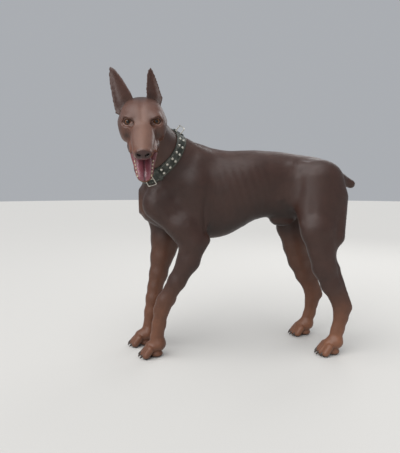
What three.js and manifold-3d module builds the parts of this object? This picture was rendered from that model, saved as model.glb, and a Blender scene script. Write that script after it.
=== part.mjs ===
// A standing doberman pinscher at life size, with its leather collar.
// Millimetres, +Z up, the dog's body faces -X and its left side faces -Y.
// Flesh is a field of lofts, tapered capsules and ellipsoids, given facets node by node.
import * as THREE from 'three';
import { mergeVertices } from 'three/addons/utils/BufferGeometryUtils.js';
import Module from 'manifold-3d';

const wasm = await Module();
wasm.setup();

// Driving dimensions of the body
const GAP = 0.3;
const PAW_PLANE = 74;
const HOCK_PLANE = 236;
const TAIL_ROOT = [484, 0, 592];
const TAIL_TIP = [528, 0, 572];

// Head: the origin is midway between the eyes, its axes are forward, left and up
const HEAD_ORIGIN = [-184, -260, 739];
const HEAD_PITCH = 30;
const HEAD_YAW = 1.5;
const HEAD_ROLL = 2;
const JAW_HINGE = [-70, 0, -40];
const JAW_OPEN = 24;
const EYE_RADIUS = 12;
const EYE_CENTRE = [-9, 38, 0];
const LID_THICKNESS = 2.4;
const EAR_THICKNESS = 3.2;

// Toes of a paw by place, and how far the outer ones stand back
const TOE_PLACES = [-1.5, -0.5, 0.5, 1.5];
const TOE_STEP = 7;

// Blocks that cut the body reach past all of it
const BLOCK = 2400;

// Share of the way that touching corners are drawn towards their own faces
const TOUCH_SHARE = 0.03;

// Collar
const COLLAR_CENTRE = [-136, -59, 670];
const COLLAR_REACH = 100;
const COLLAR_AXIS = [-0.582, -0.635, 0.508];
const COLLAR_WIDTH = 32;
const COLLAR_THICKNESS = 5;
const STUD_RADIUS = 4.5;
const STUD_ROW = 7;
const STUD_TURNS = [28, 46, 64, 82, 100, 118];
const BUCKLE_TURN = 150;
const BUCKLE_LENGTH = 30;
const BUCKLE_WIRE = 4.5;
const RING_TURN = 2;
const RING_WIDTH = 30;
const RING_HEIGHT = 22;
const RING_WIRE = 3.2;

const vec = (p) => new THREE.Vector3(p[0], p[1], p[2]);
const rad = THREE.MathUtils.degToRad;

// Signed fields: negative inside

function capsule(a, b, ra, rb, flat = 1) {
  const ab = [b[0] - a[0], (b[1] - a[1]) / flat, b[2] - a[2]];
  const length2 = ab[0] ** 2 + ab[1] ** 2 + ab[2] ** 2;
  return (x, y, z) => {
    const px = x - a[0];
    const py = (y - a[1]) / flat;
    const pz = z - a[2];
    const along = (px * ab[0] + py * ab[1] + pz * ab[2]) / length2;
    const t = Math.min(1, Math.max(0, along));
    const d = Math.hypot(px - t * ab[0], py - t * ab[1], pz - t * ab[2]);
    return (d - (ra + t * (rb - ra))) * Math.min(1, flat);
  };
}

function ellipsoid(c, r) {
  return (x, y, z) => {
    const px = (x - c[0]) / r[0];
    const py = (y - c[1]) / r[1];
    const pz = (z - c[2]) / r[2];
    const k0 = Math.hypot(px, py, pz);
    const k1 = Math.hypot(px / r[0], py / r[1], pz / r[2]);
    return k1 < 1e-9 ? -Math.min(...r) : (k0 * (k0 - 1)) / k1;
  };
}

// A loft along the first axis: stations hold place, top, bottom and half width
function loft(stations, power, egg) {
  const places = stations.map((s) => s[0]);
  const first = places[0];
  const last = places[places.length - 1];
  const curve = new THREE.CatmullRomCurve3(
    stations.map((s) => new THREE.Vector3(s[1], s[2], s[3])), false, 'centripetal');
  const spans = stations.length - 1;
  const section = (x) => {
    const at = Math.min(last, Math.max(first, x));
    let i = 0;
    while (i < spans - 1 && places[i + 1] < at) i += 1;
    const t = (at - places[i]) / (places[i + 1] - places[i]);
    return curve.getPoint((i + t) / spans);
  };
  const cache = new Map();
  return (x, y, z) => {
    const key = Math.round(x * 8);
    if (!cache.has(key)) cache.set(key, section(x));
    const s = cache.get(key);
    const half = (s.x - s.y) / 2;
    const rise = (z - (s.x + s.y) / 2) / half;
    const wide = s.z * (1 + egg * Math.max(-1, Math.min(1, rise)));
    const q = (Math.abs(y / wide) ** power + Math.abs(rise) ** power) ** (1 / power);
    const side = (q - 1) * Math.min(half, wide);
    const past = Math.max(first - x, x - last);
    return past > 0 ? Math.hypot(Math.max(side, 0), past) : Math.max(side, past);
  };
}

function blend(fields, k) {
  return (x, y, z) => {
    let d = fields[0](x, y, z);
    for (let i = 1; i < fields.length; i += 1) {
      const e = fields[i](x, y, z);
      const h = Math.max(k - Math.abs(d - e), 0) / k;
      d = Math.min(d, e) - (h * h * k) / 4;
    }
    return d;
  };
}

const grown = (field, by) => (x, y, z) => field(x, y, z) - by;

// Facets a field between two corners by dual vertices pulled onto its surface;
// what passes the corners is closed there, for a cut to trim
function facet(field, low, high, cell) {
  const n = [0, 1, 2].map((a) => Math.ceil((high[a] - low[a]) / cell[a]) + 1);
  const at = (i, j, k) => (k * n[1] + j) * n[0] + i;
  const value = new Float64Array(n[0] * n[1] * n[2]);
  for (let k = 0; k < n[2]; k += 1) {
    for (let j = 0; j < n[1]; j += 1) {
      for (let i = 0; i < n[0]; i += 1) {
        const rim = [i, j, k].some((c, a) => c === 0 || c === n[a] - 1);
        const d = field(low[0] + i * cell[0], low[1] + j * cell[1], low[2] + k * cell[2]);
        value[at(i, j, k)] = rim ? Math.max(d, cell[0] / 4) : d;
      }
    }
  }
  const positions = [];
  const owner = new Int32Array(value.length).fill(-1);
  const corners = [[0, 0, 0], [1, 0, 0], [0, 1, 0], [1, 1, 0], [0, 0, 1], [1, 0, 1], [0, 1, 1], [1, 1, 1]];
  const edges = [[0, 1], [2, 3], [4, 5], [6, 7], [0, 2], [1, 3], [4, 6], [5, 7], [0, 4], [1, 5], [2, 6], [3, 7]];
  for (let k = 0; k < n[2] - 1; k += 1) {
    for (let j = 0; j < n[1] - 1; j += 1) {
      for (let i = 0; i < n[0] - 1; i += 1) {
        const v = corners.map((c) => value[at(i + c[0], j + c[1], k + c[2])]);
        const sum = [0, 0, 0];
        let crossings = 0;
        for (const [p, q] of edges) {
          if (v[p] < 0 === v[q] < 0) continue;
          const t = v[p] / (v[p] - v[q]);
          for (let a = 0; a < 3; a += 1) sum[a] += corners[p][a] + t * (corners[q][a] - corners[p][a]);
          crossings += 1;
        }
        if (!crossings) continue;
        const start = [i, j, k].map((c, a) => low[a] + (c + sum[a] / crossings) * cell[a]);
        owner[at(i, j, k)] = positions.length / 3;
        positions.push(...settle(field, start, Math.min(...cell) * 0.45));
      }
    }
  }
  const index = [];
  const step = [1, n[0], n[0] * n[1]];
  for (let k = 0; k < n[2] - 1; k += 1) {
    for (let j = 0; j < n[1] - 1; j += 1) {
      for (let i = 0; i < n[0] - 1; i += 1) {
        const here = at(i, j, k);
        for (let a = 0; a < 3; a += 1) {
          if ([i, j, k].some((c, other) => c === 0 && other !== a)) continue;
          const inside = value[here] < 0;
          if (inside === value[here + step[a]] < 0) continue;
          const b = step[(a + 1) % 3];
          const c = step[(a + 2) % 3];
          const ring = [owner[here - b - c], owner[here - c], owner[here], owner[here - b]];
          if (!inside) ring.reverse();
          index.push(ring[0], ring[1], ring[2], ring[0], ring[2], ring[3]);
        }
      }
    }
  }
  const geometry = new THREE.BufferGeometry();
  geometry.setAttribute('position', new THREE.Float32BufferAttribute(positions, 3));
  geometry.setIndex(index);
  return geometry;
}

// Pulls one point onto the surface of a field, no farther than its reach
function settle(field, start, reach) {
  const p = [...start];
  const h = 0.5;
  for (let turn = 0; turn < 3; turn += 1) {
    const d = field(...p);
    const g = [0, 1, 2].map((a) => {
      const q = [...p];
      q[a] += h;
      return (field(...q) - d) / h;
    });
    const g2 = Math.max(0.05, g[0] ** 2 + g[1] ** 2 + g[2] ** 2);
    for (let a = 0; a < 3; a += 1) p[a] -= (d * g[a]) / g2;
  }
  const move = Math.hypot(p[0] - start[0], p[1] - start[1], p[2] - start[2]);
  const part = move > reach ? reach / move : 1;
  return p.map((c, a) => start[a] + (c - start[a]) * part);
}

// Booleans

function solid(geometry) {
  const bare = new THREE.BufferGeometry();
  bare.setAttribute('position', geometry.getAttribute('position').clone());
  bare.setIndex(geometry.getIndex() ? geometry.getIndex().clone() : null);
  const merged = mergeVertices(bare, 1e-4);
  const mesh = new wasm.Mesh({
    numProp: 3,
    vertProperties: new Float32Array(merged.getAttribute('position').array),
    triVerts: new Uint32Array(merged.getIndex().array),
  });
  return new wasm.Manifold(mesh);
}

function largest(manifold) {
  const pieces = manifold.decompose();
  pieces.sort((a, b) => b.numTri() - a.numTri());
  return pieces[0];
}

// Corners of two folds that meet at one point are drawn apart, each towards its own faces
function partTouching(vertices, triangles) {
  const places = new Map();
  const count = vertices.length / 3;
  for (let i = 0; i < count; i += 1) {
    const key = [0, 1, 2].map((a) => Math.round(vertices[i * 3 + a] * 500)).join();
    places.set(key, [...(places.get(key) || []), i]);
  }
  const shared = new Set([...places.values()].filter((group) => group.length > 1).flat());
  const toward = new Map([...shared].map((i) => [i, [0, 0, 0, 0]]));
  for (let t = 0; t < triangles.length; t += 3) {
    const face = [0, 1, 2].map((k) => triangles[t + k]);
    for (const i of face.filter((k) => shared.has(k))) {
      const sum = toward.get(i);
      for (const k of face) for (let a = 0; a < 3; a += 1) sum[a] += vertices[k * 3 + a];
      sum[3] += 3;
    }
  }
  for (const [i, sum] of toward) {
    for (let a = 0; a < 3; a += 1) {
      vertices[i * 3 + a] += (sum[a] / sum[3] - vertices[i * 3 + a]) * TOUCH_SHARE;
    }
  }
}

function toGeometry(manifold) {
  const mesh = manifold.getMesh();
  partTouching(mesh.vertProperties, mesh.triVerts);
  const geometry = new THREE.BufferGeometry();
  geometry.setAttribute('position', new THREE.Float32BufferAttribute(mesh.vertProperties, 3));
  geometry.setIndex(Array.from(mesh.triVerts));
  return geometry;
}

// A block whose face lies in the plane through a point; it fills the side the normal points to
function half(point, normal, offset = 0) {
  const block = new THREE.BoxGeometry(BLOCK, BLOCK, BLOCK);
  const turn = new THREE.Quaternion().setFromUnitVectors(new THREE.Vector3(0, 0, 1), vec(normal).normalize());
  block.translate(0, 0, BLOCK / 2 + offset);
  block.applyQuaternion(turn);
  block.translate(...point);
  return solid(block);
}

const flip = (normal) => normal.map((c) => -c);

// The head's frame
const headFrame = new THREE.Matrix4();
{
  const pitch = rad(HEAD_PITCH);
  const yaw = rad(HEAD_YAW);
  const forward = new THREE.Vector3(
    Math.sin(yaw) * Math.cos(pitch), -Math.cos(yaw) * Math.cos(pitch), -Math.sin(pitch));
  const level = new THREE.Vector3(Math.cos(yaw), Math.sin(yaw), 0);
  const left = level.applyAxisAngle(forward, rad(HEAD_ROLL));
  const up = new THREE.Vector3().crossVectors(forward, left);
  headFrame.makeBasis(forward, left, up).setPosition(...HEAD_ORIGIN);
}
const headBack = headFrame.clone().invert();
const placeHead = (p) => vec(p).applyMatrix4(headFrame).toArray();
const turnHead = (p) => vec(p).transformDirection(headFrame).toArray();

function inHead(field) {
  const e = headBack.elements;
  return (x, y, z) => field(
    e[0] * x + e[4] * y + e[8] * z + e[12],
    e[1] * x + e[5] * y + e[9] * z + e[13],
    e[2] * x + e[6] * y + e[10] * z + e[14]);
}

// The lower jaw turns down about its hinge
function inJaw(field) {
  const c = Math.cos(rad(JAW_OPEN));
  const s = Math.sin(rad(JAW_OPEN));
  return (f, l, u) => {
    const a = f - JAW_HINGE[0];
    const b = u - JAW_HINGE[2];
    return field(JAW_HINGE[0] + a * c - b * s, l, JAW_HINGE[2] + a * s + b * c);
  };
}

function jawPoint(p) {
  const c = Math.cos(rad(JAW_OPEN));
  const s = Math.sin(rad(JAW_OPEN));
  const a = p[0] - JAW_HINGE[0];
  const b = p[2] - JAW_HINGE[2];
  return [JAW_HINGE[0] + a * c + b * s, p[1], JAW_HINGE[2] - a * s + b * c];
}

// Trunk: place from the withers, top, bottom and half width
const trunk = loft([
  [-206, 556, 476, 34],
  [-185, 588, 452, 62],
  [-150, 632, 430, 80],
  [-110, 682, 412, 88],
  [-71, 712, 400, 91],
  [-12, 704, 391, 96],
  [40, 692, 387, 101],
  [92, 684, 398, 104],
  [147, 685, 426, 101],
  [184, 686, 447, 94],
  [227, 684, 457, 84],
  [264, 682, 455, 77],
  [331, 673, 456, 74],
  [407, 662, 486, 74],
  [448, 640, 512, 64],
  [478, 617, 532, 46],
  [494, 600, 552, 24],
], 2.15, 0.13);

const neckRoot = [-52, -4, 612];
const neckMiddle = [-126, -47, 662];
const neckTop = [-180, -128, 742];
const neck = blend([
  capsule(neckRoot, neckMiddle, 96, 75, 0.86),
  capsule(neckMiddle, neckTop, 75, 60, 0.9),
  capsule([-90, -20, 560], [-160, -60, 640], 78, 56, 0.8),
], 30);

function shoulder(side) {
  return [
    capsule([-58, side * 58, 680], [-140, side * 76, 510], 32, 40, 0.75),
    capsule([-20, side * 62, 640], [-100, side * 80, 520], 44, 40, 0.6),
    ellipsoid([-45, side * 74, 560], [62, 34, 88]),
  ];
}

// Legs: joints from the top down as place and radius
function limb(joints, flat) {
  const parts = [];
  for (let i = 1; i < joints.length; i += 1) {
    const [a, ra] = joints[i - 1];
    const [b, rb] = joints[i];
    parts.push(capsule(a, b, ra, rb, flat));
  }
  return blend(parts, 14);
}

const leftFore = blend([
  capsule([-142, -80, 505], [-66, -90, 430], 46, 42, 0.78),
  capsule([-30, -84, 560], [-8, -90, 410], 48, 24, 0.7),
  limb([
    [[-66, -90, 440], 44],
    [[-34, -89, 384], 41],
    [[-46, -86, 326], 36],
    [[-84, -79, 256], 28],
    [[-102, -75, 226], 23],
    [[-122, -71, 192], 26],
    [[-134, -67, 160], 24],
    [[-142, -63, 112], 21],
    [[-150, -60, 66], 24],
  ], 0.86),
  capsule([10, -90, 392], [-40, -84, 330], 13, 18, 1),
], 18);

const rightFore = blend([
  capsule([-158, 76, 500], [-120, 86, 430], 46, 44, 0.78),
  capsule([-60, 80, 560], [-86, 86, 410], 50, 26, 0.7),
  limb([
    [[-122, 86, 440], 46],
    [[-120, 84, 376], 46],
    [[-130, 79, 312], 38],
    [[-142, 73, 252], 31],
    [[-154, 66, 208], 25],
    [[-160, 61, 166], 26],
    [[-168, 58, 120], 23],
    [[-176, 55, 66], 24],
  ], 0.86),
  capsule([-68, 86, 386], [-98, 82, 330], 12, 18, 1),
], 18);

function thigh(hip, stifle, hamstring, side) {
  return [
    capsule(hip, stifle, 78, 50, 0.6),
    capsule([hip[0] + 36, hip[1] + side * 4, hip[2] - 52], hamstring, 58, 34, 0.62),
    capsule([hip[0] - 58, hip[1] - side * 12, hip[2] - 40], stifle, 42, 42, 0.5),
    ellipsoid([hip[0] + 6, hip[1] - side * 8, hip[2] + 6], [66, 42, 58]),
  ];
}

const leftHind = blend([
  ...thigh([394, -72, 574], [374, -104, 424], [436, -102, 400], -1),
  limb([
    [[378, -104, 418], 48],
    [[392, -103, 356], 44],
    [[404, -101, 300], 40],
    [[428, -99, 238], 31],
    [[450, -98, 196], 23],
    [[464, -98, 160], 23],
    [[466, -98, 126], 22],
    [[456, -98, 86], 20],
    [[446, -98, 54], 22],
  ], 0.72),
  capsule([440, -100, 290], [488, -98, 160], 14, 15, 0.7),
], 18);

const rightHind = blend([
  ...thigh([386, 72, 568], [348, 102, 420], [412, 100, 388], 1),
  limb([
    [[356, 102, 412], 48],
    [[368, 103, 344], 44],
    [[382, 103, 288], 38],
    [[404, 103, 232], 30],
    [[424, 103, 192], 23],
    [[436, 104, 156], 23],
    [[436, 104, 124], 22],
    [[429, 104, 84], 20],
    [[414, 105, 50], 22],
  ], 0.72),
  capsule([412, 102, 284], [464, 104, 156], 14, 14, 0.7),
], 18);

// Paws: four arched toes and the main pad, which stands on the floor
function paw(heel, length, width, splay) {
  const parts = [
    capsule([heel[0] + 2, heel[1], 44], [heel[0] - length * 0.45, heel[1], 34], 25, 21, width / 50),
    ellipsoid([heel[0] - length * 0.12, heel[1], 11], [22, 20, 14]),
  ];
  for (const place of TOE_PLACES) {
    const reach = length - TOE_STEP * Math.abs(place);
    const knuckle = [heel[0] - reach * 0.66, heel[1] + place * width * 0.26, 31];
    const tip = [heel[0] - reach, heel[1] + place * width * splay, 12.5];
    parts.push(capsule(knuckle, tip, 14.5, 14));
  }
  return blend(parts, 6);
}

const claws = (heel, length, width, splay) => TOE_PLACES.map((place) => {
  const reach = length - TOE_STEP * Math.abs(place);
  const root = [heel[0] - reach - 8, heel[1] + place * width * splay, 14];
  return capsule(root, [root[0] - 13, root[1] + place, 5.2], 4.6, 1.8);
});

const PAWS = {
  left_fore_paw: [[-146, -59, 0], 50, 58, 0.3],
  right_fore_paw: [[-184, 54, 0], 52, 58, 0.3],
  left_hind_paw: [[448, -98, 0], 52, 54, 0.3],
  right_hind_paw: [[418, 106, 0], 52, 54, 0.3],
};

const tail = capsule(TAIL_ROOT, TAIL_TIP, 21, 15.5);
const sheath = capsule([262, 0, 446], [318, 0, 436], 15, 13, 0.9);
const shoulders = [...shoulder(-1), ...shoulder(1)];
const bodyField = blend([trunk, neck, ...shoulders, leftFore, rightFore, leftHind, rightHind, tail, sheath], 24);

// Head and lower jaw in the head's frame: place forward, top, bottom, half width
const skull = loft([
  [-134, 16, -34, 30],
  [-112, 33, -52, 50],
  [-80, 40, -60, 61],
  [-46, 40, -62, 65],
  [-18, 33, -60, 60],
  [6, 20, -56, 46],
  [28, 8, -53, 35.5],
  [60, 2, -52, 34],
  [94, -5, -51, 30],
  [118, -11, -50, 26],
  [132, -20, -46, 18],
], 2.4, 0.04);

const jaw = loft([
  [-70, -40, -78, 42],
  [-20, -44, -84, 45],
  [24, -48, -84, 38],
  [60, -50, -80, 30],
  [90, -51, -77, 25],
  [104, -52, -73, 19],
  [112, -55, -68, 10],
], 2.3, 0.12);

const bridge = capsule([20, 0, -14], [120, 0, -25], 21, 14);
const cheek = (side) => ellipsoid([-34, side * 46, -26], [50, 22, 40]);
const brow = (side) => ellipsoid([-9, side * 35, 15], [18, 18, 9]);
const lipCorner = (side) => ellipsoid([8, side * 36, -60], [32, 9, 22]);
const flew = (side) => ellipsoid([50, side * 31, -46], [44, 8, 13]);
const noseLeather = ellipsoid([128, 0, -27], [13, 21, 14]);
const throat = capsule([-62, 0, -62], [-118, 0, -66], 40, 56);
const headField = inHead(blend([
  skull,
  inJaw(jaw),
  bridge,
  cheek(-1),
  cheek(1),
  brow(-1),
  brow(1),
  lipCorner(-1),
  lipCorner(1),
  flew(-1),
  flew(1),
  noseLeather,
  throat,
], 9));

// The eye socket digs in beside the bridge, before the lids are set round the eye
const hollow = (side) => inHead(ellipsoid([14, side * 30, 2], [12, 8, 8]));
const hollows = [hollow(-1), hollow(1)];
const faceField = (x, y, z) => Math.max(headField(x, y, z), ...hollows.map((h) => -h(x, y, z)));
const wholeField = blend([bodyField, faceField], 10);

// Parting planes
const HEAD_PLANE = { point: placeHead([-105, 0, -45]), normal: turnHead([0.75, 0, 0.66]) };
const NECK_PLANE = { point: [-112, -20, 660], normal: [-0.75, -0.3, 0.59] };
const forePlane = (side) => ({ point: [0, side * 45, 392], normal: [0, side * 0.82, -0.57] });
const hindPlane = (side) => ({ point: [0, side * 22, 430], normal: [0, side * 0.894, -0.447] });
const FORE_BACK = { point: [70, 0, 0], normal: [-1, 0, 0] };
const HIND_FRONT = { point: [268, 0, 0], normal: [1, 0, 0] };
const level = (height, up) => ({ point: [0, 0, height], normal: [0, 0, up] });

const keep = (body, planes) => planes.reduce(
  (m, p) => m.intersect(half(p.point, p.normal, GAP / 2)), body);
const cutAway = (body, planes) => {
  const tool = planes.map((p) => half(p.point, p.normal, -GAP / 2)).reduce((m, h) => m.intersect(h));
  return body.subtract(tool);
};

const model = new THREE.Group();

function add(name, geometry, material) {
  const mesh = new THREE.Mesh(geometry, new THREE.MeshStandardMaterial(material));
  mesh.name = name;
  model.add(mesh);
  return mesh;
}

const COAT = { color: 0x4a332c, roughness: 0.55, metalness: 0 };
const TAN_COAT = { color: 0x7a4a34, roughness: 0.6, metalness: 0 };
const FACE_COAT = { color: 0x7c5c4f, roughness: 0.6, metalness: 0 };
const EYE = { color: 0x6b3a20, roughness: 0.08, metalness: 0 };
const TONGUE = { color: 0xb4707c, roughness: 0.35, metalness: 0 };
const LEATHER = { color: 0x34382f, roughness: 0.55, metalness: 0 };
const METAL = { color: 0xb9b8b2, roughness: 0.3, metalness: 1 };

// Grids of facets: low corner, high corner and cell
const TORSO_GRID = [[-250, -150, 370], [520, 150, 760], [35, 24, 24]];
const NECK_GRID = [[-300, -260, 500], [0, 140, 860], [20, 20, 20]];
const HEAD_GRID = [[-310, -420, 560], [-60, -110, 850], [12.6, 12.6, 12.6]];
const COLLAR_GRID = [[-290, -190, 510], [10, 100, 820], [17, 17, 17]];
const FLESH_CLEARANCE = GAP + 0.5;
const TONGUE_CLEARANCE = 1.5;
const COLLAR_CLEARANCE = 1.6;

// The flesh grown by the clearance, in the same facets as the node it is kept off
const clearOf = (field, grid, by = FLESH_CLEARANCE) => solid(facet(grown(field, by), ...grid));

// Torso
{
  let torso = solid(facet(bodyField, ...TORSO_GRID));
  torso = keep(torso, [{ point: NECK_PLANE.point, normal: flip(NECK_PLANE.normal) }]);
  for (const side of [-1, 1]) {
    torso = cutAway(torso, [forePlane(side), FORE_BACK]);
    torso = cutAway(torso, [hindPlane(side), HIND_FRONT]);
  }
  const tailSide = { point: [499, 0, 585], normal: [-0.91, 0, 0.41] };
  torso = keep(torso, [tailSide]);
  add('torso', toGeometry(largest(torso)), COAT);
  const tailBody = solid(facet(blend([tail, trunk], 12), [440, -60, 520], [560, 60, 660], [11, 11, 11]));
  const behind = { point: tailSide.point, normal: flip(tailSide.normal) };
  add('tail', toGeometry(largest(keep(tailBody, [behind]))), COAT);
}

// Neck
{
  const body = solid(facet(wholeField, ...NECK_GRID));
  const back = { point: HEAD_PLANE.point, normal: flip(HEAD_PLANE.normal) };
  add('neck', toGeometry(largest(keep(body, [NECK_PLANE, back]))), COAT);
}

// Legs, parted from the trunk by slanting planes and from the paws by level ones
const FORELEGS = { left: [-1, -220, 90], right: [1, -260, 30] };
for (const [name, [side, front, back]] of Object.entries(FORELEGS)) {
  const low = [front, side < 0 ? -160 : 20, 50];
  const high = [back, side < 0 ? -20 : 160, 540];
  const body = solid(facet(bodyField, low, high, [15, 14, 21]));
  const planes = [forePlane(side), FORE_BACK, level(PAW_PLANE, 1)];
  add(`${name}_foreleg`, toGeometry(largest(keep(body, planes))), COAT);
}

const HINDLEGS = { left: -1, right: 1 };
for (const [name, side] of Object.entries(HINDLEGS)) {
  const low = [230, side < 0 ? -180 : 0, 220];
  const high = [540, side < 0 ? 0 : 180, 680];
  const body = solid(facet(bodyField, low, high, [17, 16, 22]));
  const planes = [hindPlane(side), HIND_FRONT, level(HOCK_PLANE, 1)];
  add(`${name}_thigh`, toGeometry(largest(keep(body, planes))), COAT);
  const shank = solid(facet(bodyField, [350, low[1], 40], [540, high[1], 280], [13.5, 12, 18]));
  const band = [level(HOCK_PLANE, -1), level(PAW_PLANE, 1)];
  add(`${name}_hind_leg`, toGeometry(largest(keep(shank, band))), TAN_COAT);
}

// Paws with their claws
for (const [name, [heel, length, width, splay]] of Object.entries(PAWS)) {
  const field = blend([bodyField, paw(heel, length, width, splay)], 10);
  const low = [heel[0] - length - 50, heel[1] - 60, -20];
  const high = [heel[0] + 60, heel[1] + 60, PAW_PLANE + 24];
  let body = solid(facet(field, low, high, [14.5, 11, 12.5]));
  for (const claw of claws(heel, length, width, splay)) {
    body = body.add(solid(facet(claw, low, [heel[0] - 10, high[1], 40], [8, 5, 6])));
  }
  const standing = keep(body, [level(PAW_PLANE, -1)]).intersect(half([0, 0, 0], [0, 0, 1]));
  add(name, toGeometry(largest(standing)), TAN_COAT);
}

// Head with lids, nostrils and the open mouth
{
  let body = solid(facet(wholeField, ...HEAD_GRID));
  body = keep(body, [HEAD_PLANE]);
  const place = (geometry) => solid(geometry.applyMatrix4(headFrame));
  for (const side of [-1, 1]) {
    const centre = [EYE_CENTRE[0], side * EYE_CENTRE[1], EYE_CENTRE[2]];
    const lid = new THREE.SphereGeometry(EYE_RADIUS + LID_THICKNESS, 14, 10);
    body = body.add(place(lid.translate(...centre)));
    const socket = new THREE.SphereGeometry(EYE_RADIUS + GAP, 14, 10);
    body = body.subtract(place(socket.translate(...centre)));
    const opening = new THREE.Shape();
    opening.moveTo(-11, -1.5);
    opening.quadraticCurveTo(-1, 11.5, 11, 1);
    opening.quadraticCurveTo(1, -10, -11, -1.5);
    const slot = new THREE.ExtrudeGeometry(opening, { depth: 40, bevelEnabled: false, curveSegments: 5 });
    slot.rotateZ(side * rad(6));
    slot.applyMatrix4(new THREE.Matrix4().makeBasis(
      new THREE.Vector3(0, side, 0), new THREE.Vector3(0, 0, 1), new THREE.Vector3(side, 0, 0)));
    if (side < 0) slot.translate(40, 0, 0);
    slot.rotateZ(side * rad(16));
    body = body.subtract(place(slot.translate(centre[0], centre[1], centre[2])));
    const eye = new THREE.SphereGeometry(EYE_RADIUS, 14, 8).translate(...centre).applyMatrix4(headFrame);
    add(side < 0 ? 'right_eye' : 'left_eye', eye, EYE);
    const nostril = new THREE.SphereGeometry(4.2, 10, 6).scale(2.4, 1, 0.8);
    nostril.rotateZ(-side * rad(28));
    body = body.subtract(place(nostril.translate(140, side * 9.5, -30)));
  }
  add('head', toGeometry(largest(body)), FACE_COAT);
}

// Ears: cupped shells that grow from the skull
function ear(base, tip, across, facing, width, cup) {
  const steps = 8;
  const turns = 6;
  const axis = vec(tip).sub(vec(base));
  const side = vec(across).normalize();
  const front = vec(facing).normalize();
  const sheet = (offset) => {
    const rows = [];
    for (let i = 0; i <= steps; i += 1) {
      const t = i / steps;
      const wide = width * (1 - t) ** 0.72 * (1 + 0.35 * t) * 0.5 + 1.2;
      const deep = cup * (1 - t) ** 0.8 + 0.6;
      const row = [];
      for (let j = 0; j <= turns; j += 1) {
        const s = (j / turns) * 2 - 1;
        const point = vec(base).addScaledVector(axis, t);
        point.addScaledVector(side, s * (wide + offset * Math.abs(s) * 0.5));
        point.addScaledVector(front, deep * s * s - offset * (1 - 0.2 * s * s));
        row.push(point);
      }
      rows.push(row);
    }
    return rows;
  };
  const sheets = [sheet(0), sheet(EAR_THICKNESS)];
  const positions = [];
  const index = [];
  const id = (k, i, j) => (k * (steps + 1) + i) * (turns + 1) + j;
  for (const rows of sheets) for (const row of rows) for (const p of row) positions.push(p.x, p.y, p.z);
  const quad = (a, b, c, d) => index.push(a, b, c, a, c, d);
  for (let i = 0; i < steps; i += 1) {
    for (let j = 0; j < turns; j += 1) {
      quad(id(0, i, j), id(0, i, j + 1), id(0, i + 1, j + 1), id(0, i + 1, j));
      quad(id(1, i, j), id(1, i + 1, j), id(1, i + 1, j + 1), id(1, i, j + 1));
    }
    quad(id(0, i, 0), id(0, i + 1, 0), id(1, i + 1, 0), id(1, i, 0));
    quad(id(0, i + 1, turns), id(0, i, turns), id(1, i, turns), id(1, i + 1, turns));
  }
  for (let j = 0; j < turns; j += 1) {
    quad(id(0, 0, j + 1), id(0, 0, j), id(1, 0, j), id(1, 0, j + 1));
    quad(id(0, steps, j), id(0, steps, j + 1), id(1, steps, j + 1), id(1, steps, j));
  }
  const geometry = new THREE.BufferGeometry();
  geometry.setAttribute('position', new THREE.Float32BufferAttribute(positions, 3));
  geometry.setIndex(index);
  const body = solid(geometry);
  return body.volume() < 0 ? solid(flipped(geometry)) : body;
}

function flipped(geometry) {
  const index = Array.from(geometry.getIndex().array);
  for (let i = 0; i < index.length; i += 3) [index[i], index[i + 1]] = [index[i + 1], index[i]];
  geometry.setIndex(index);
  return geometry;
}

{
  const clear = clearOf(wholeField, HEAD_GRID);
  const ears = {
    right_ear: [[-230, -196, 772], [-276, -170, 907], [0.8, -0.35, 0.5], [0.25, -0.96, -0.1], 66, 20],
    left_ear: [[-136, -198, 772], [-161, -172, 907], [0.82, 0.28, -0.45], [-0.35, -0.93, 0.05], 62, 20],
  };
  for (const [name, args] of Object.entries(ears)) {
    add(name, toGeometry(largest(ear(...args).subtract(clear))), COAT);
  }
}

// Tongue: it lies along the lower jaw and over the lower teeth
{
  const stations = [
    [-4, -38, -50, 17],
    [30, -38, -52, 20],
    [62, -38, -54, 21],
    [92, -40, -56, 20],
    [112, -46, -60, 17],
    [124, -54, -63, 11],
  ];
  const field = inHead(inJaw(loft(stations, 2.3, -0.1)));
  const body = solid(facet(field, [-250, -400, 560], [-110, -200, 720], [9, 12, 12]));
  const clear = clearOf(wholeField, HEAD_GRID, TONGUE_CLEARANCE);
  add('tongue', toGeometry(largest(body.subtract(clear))), TONGUE);
}

// Collar: a band that follows the neck, with studs, a buckle and a standing ring
const axisN = vec(COLLAR_AXIS).normalize();
const nape = new THREE.Vector3(0.66, 0, 0.75);
const toNape = nape.clone().addScaledVector(axisN, -axisN.dot(nape)).normalize();
const toLeft = new THREE.Vector3().crossVectors(toNape, axisN).normalize();

function collarFrame(turn, lift) {
  const out = toNape.clone().multiplyScalar(Math.cos(rad(turn))).addScaledVector(toLeft, Math.sin(rad(turn)));
  let reach = 20;
  const at = (r) => vec(COLLAR_CENTRE).addScaledVector(out, r);
  while (wholeField(...at(reach).toArray()) < 0 && reach < 160) reach += 0.5;
  const place = at(reach + lift);
  const along = new THREE.Vector3().crossVectors(axisN, out);
  return new THREE.Matrix4().makeBasis(along, axisN, out).setPosition(place);
}

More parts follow.
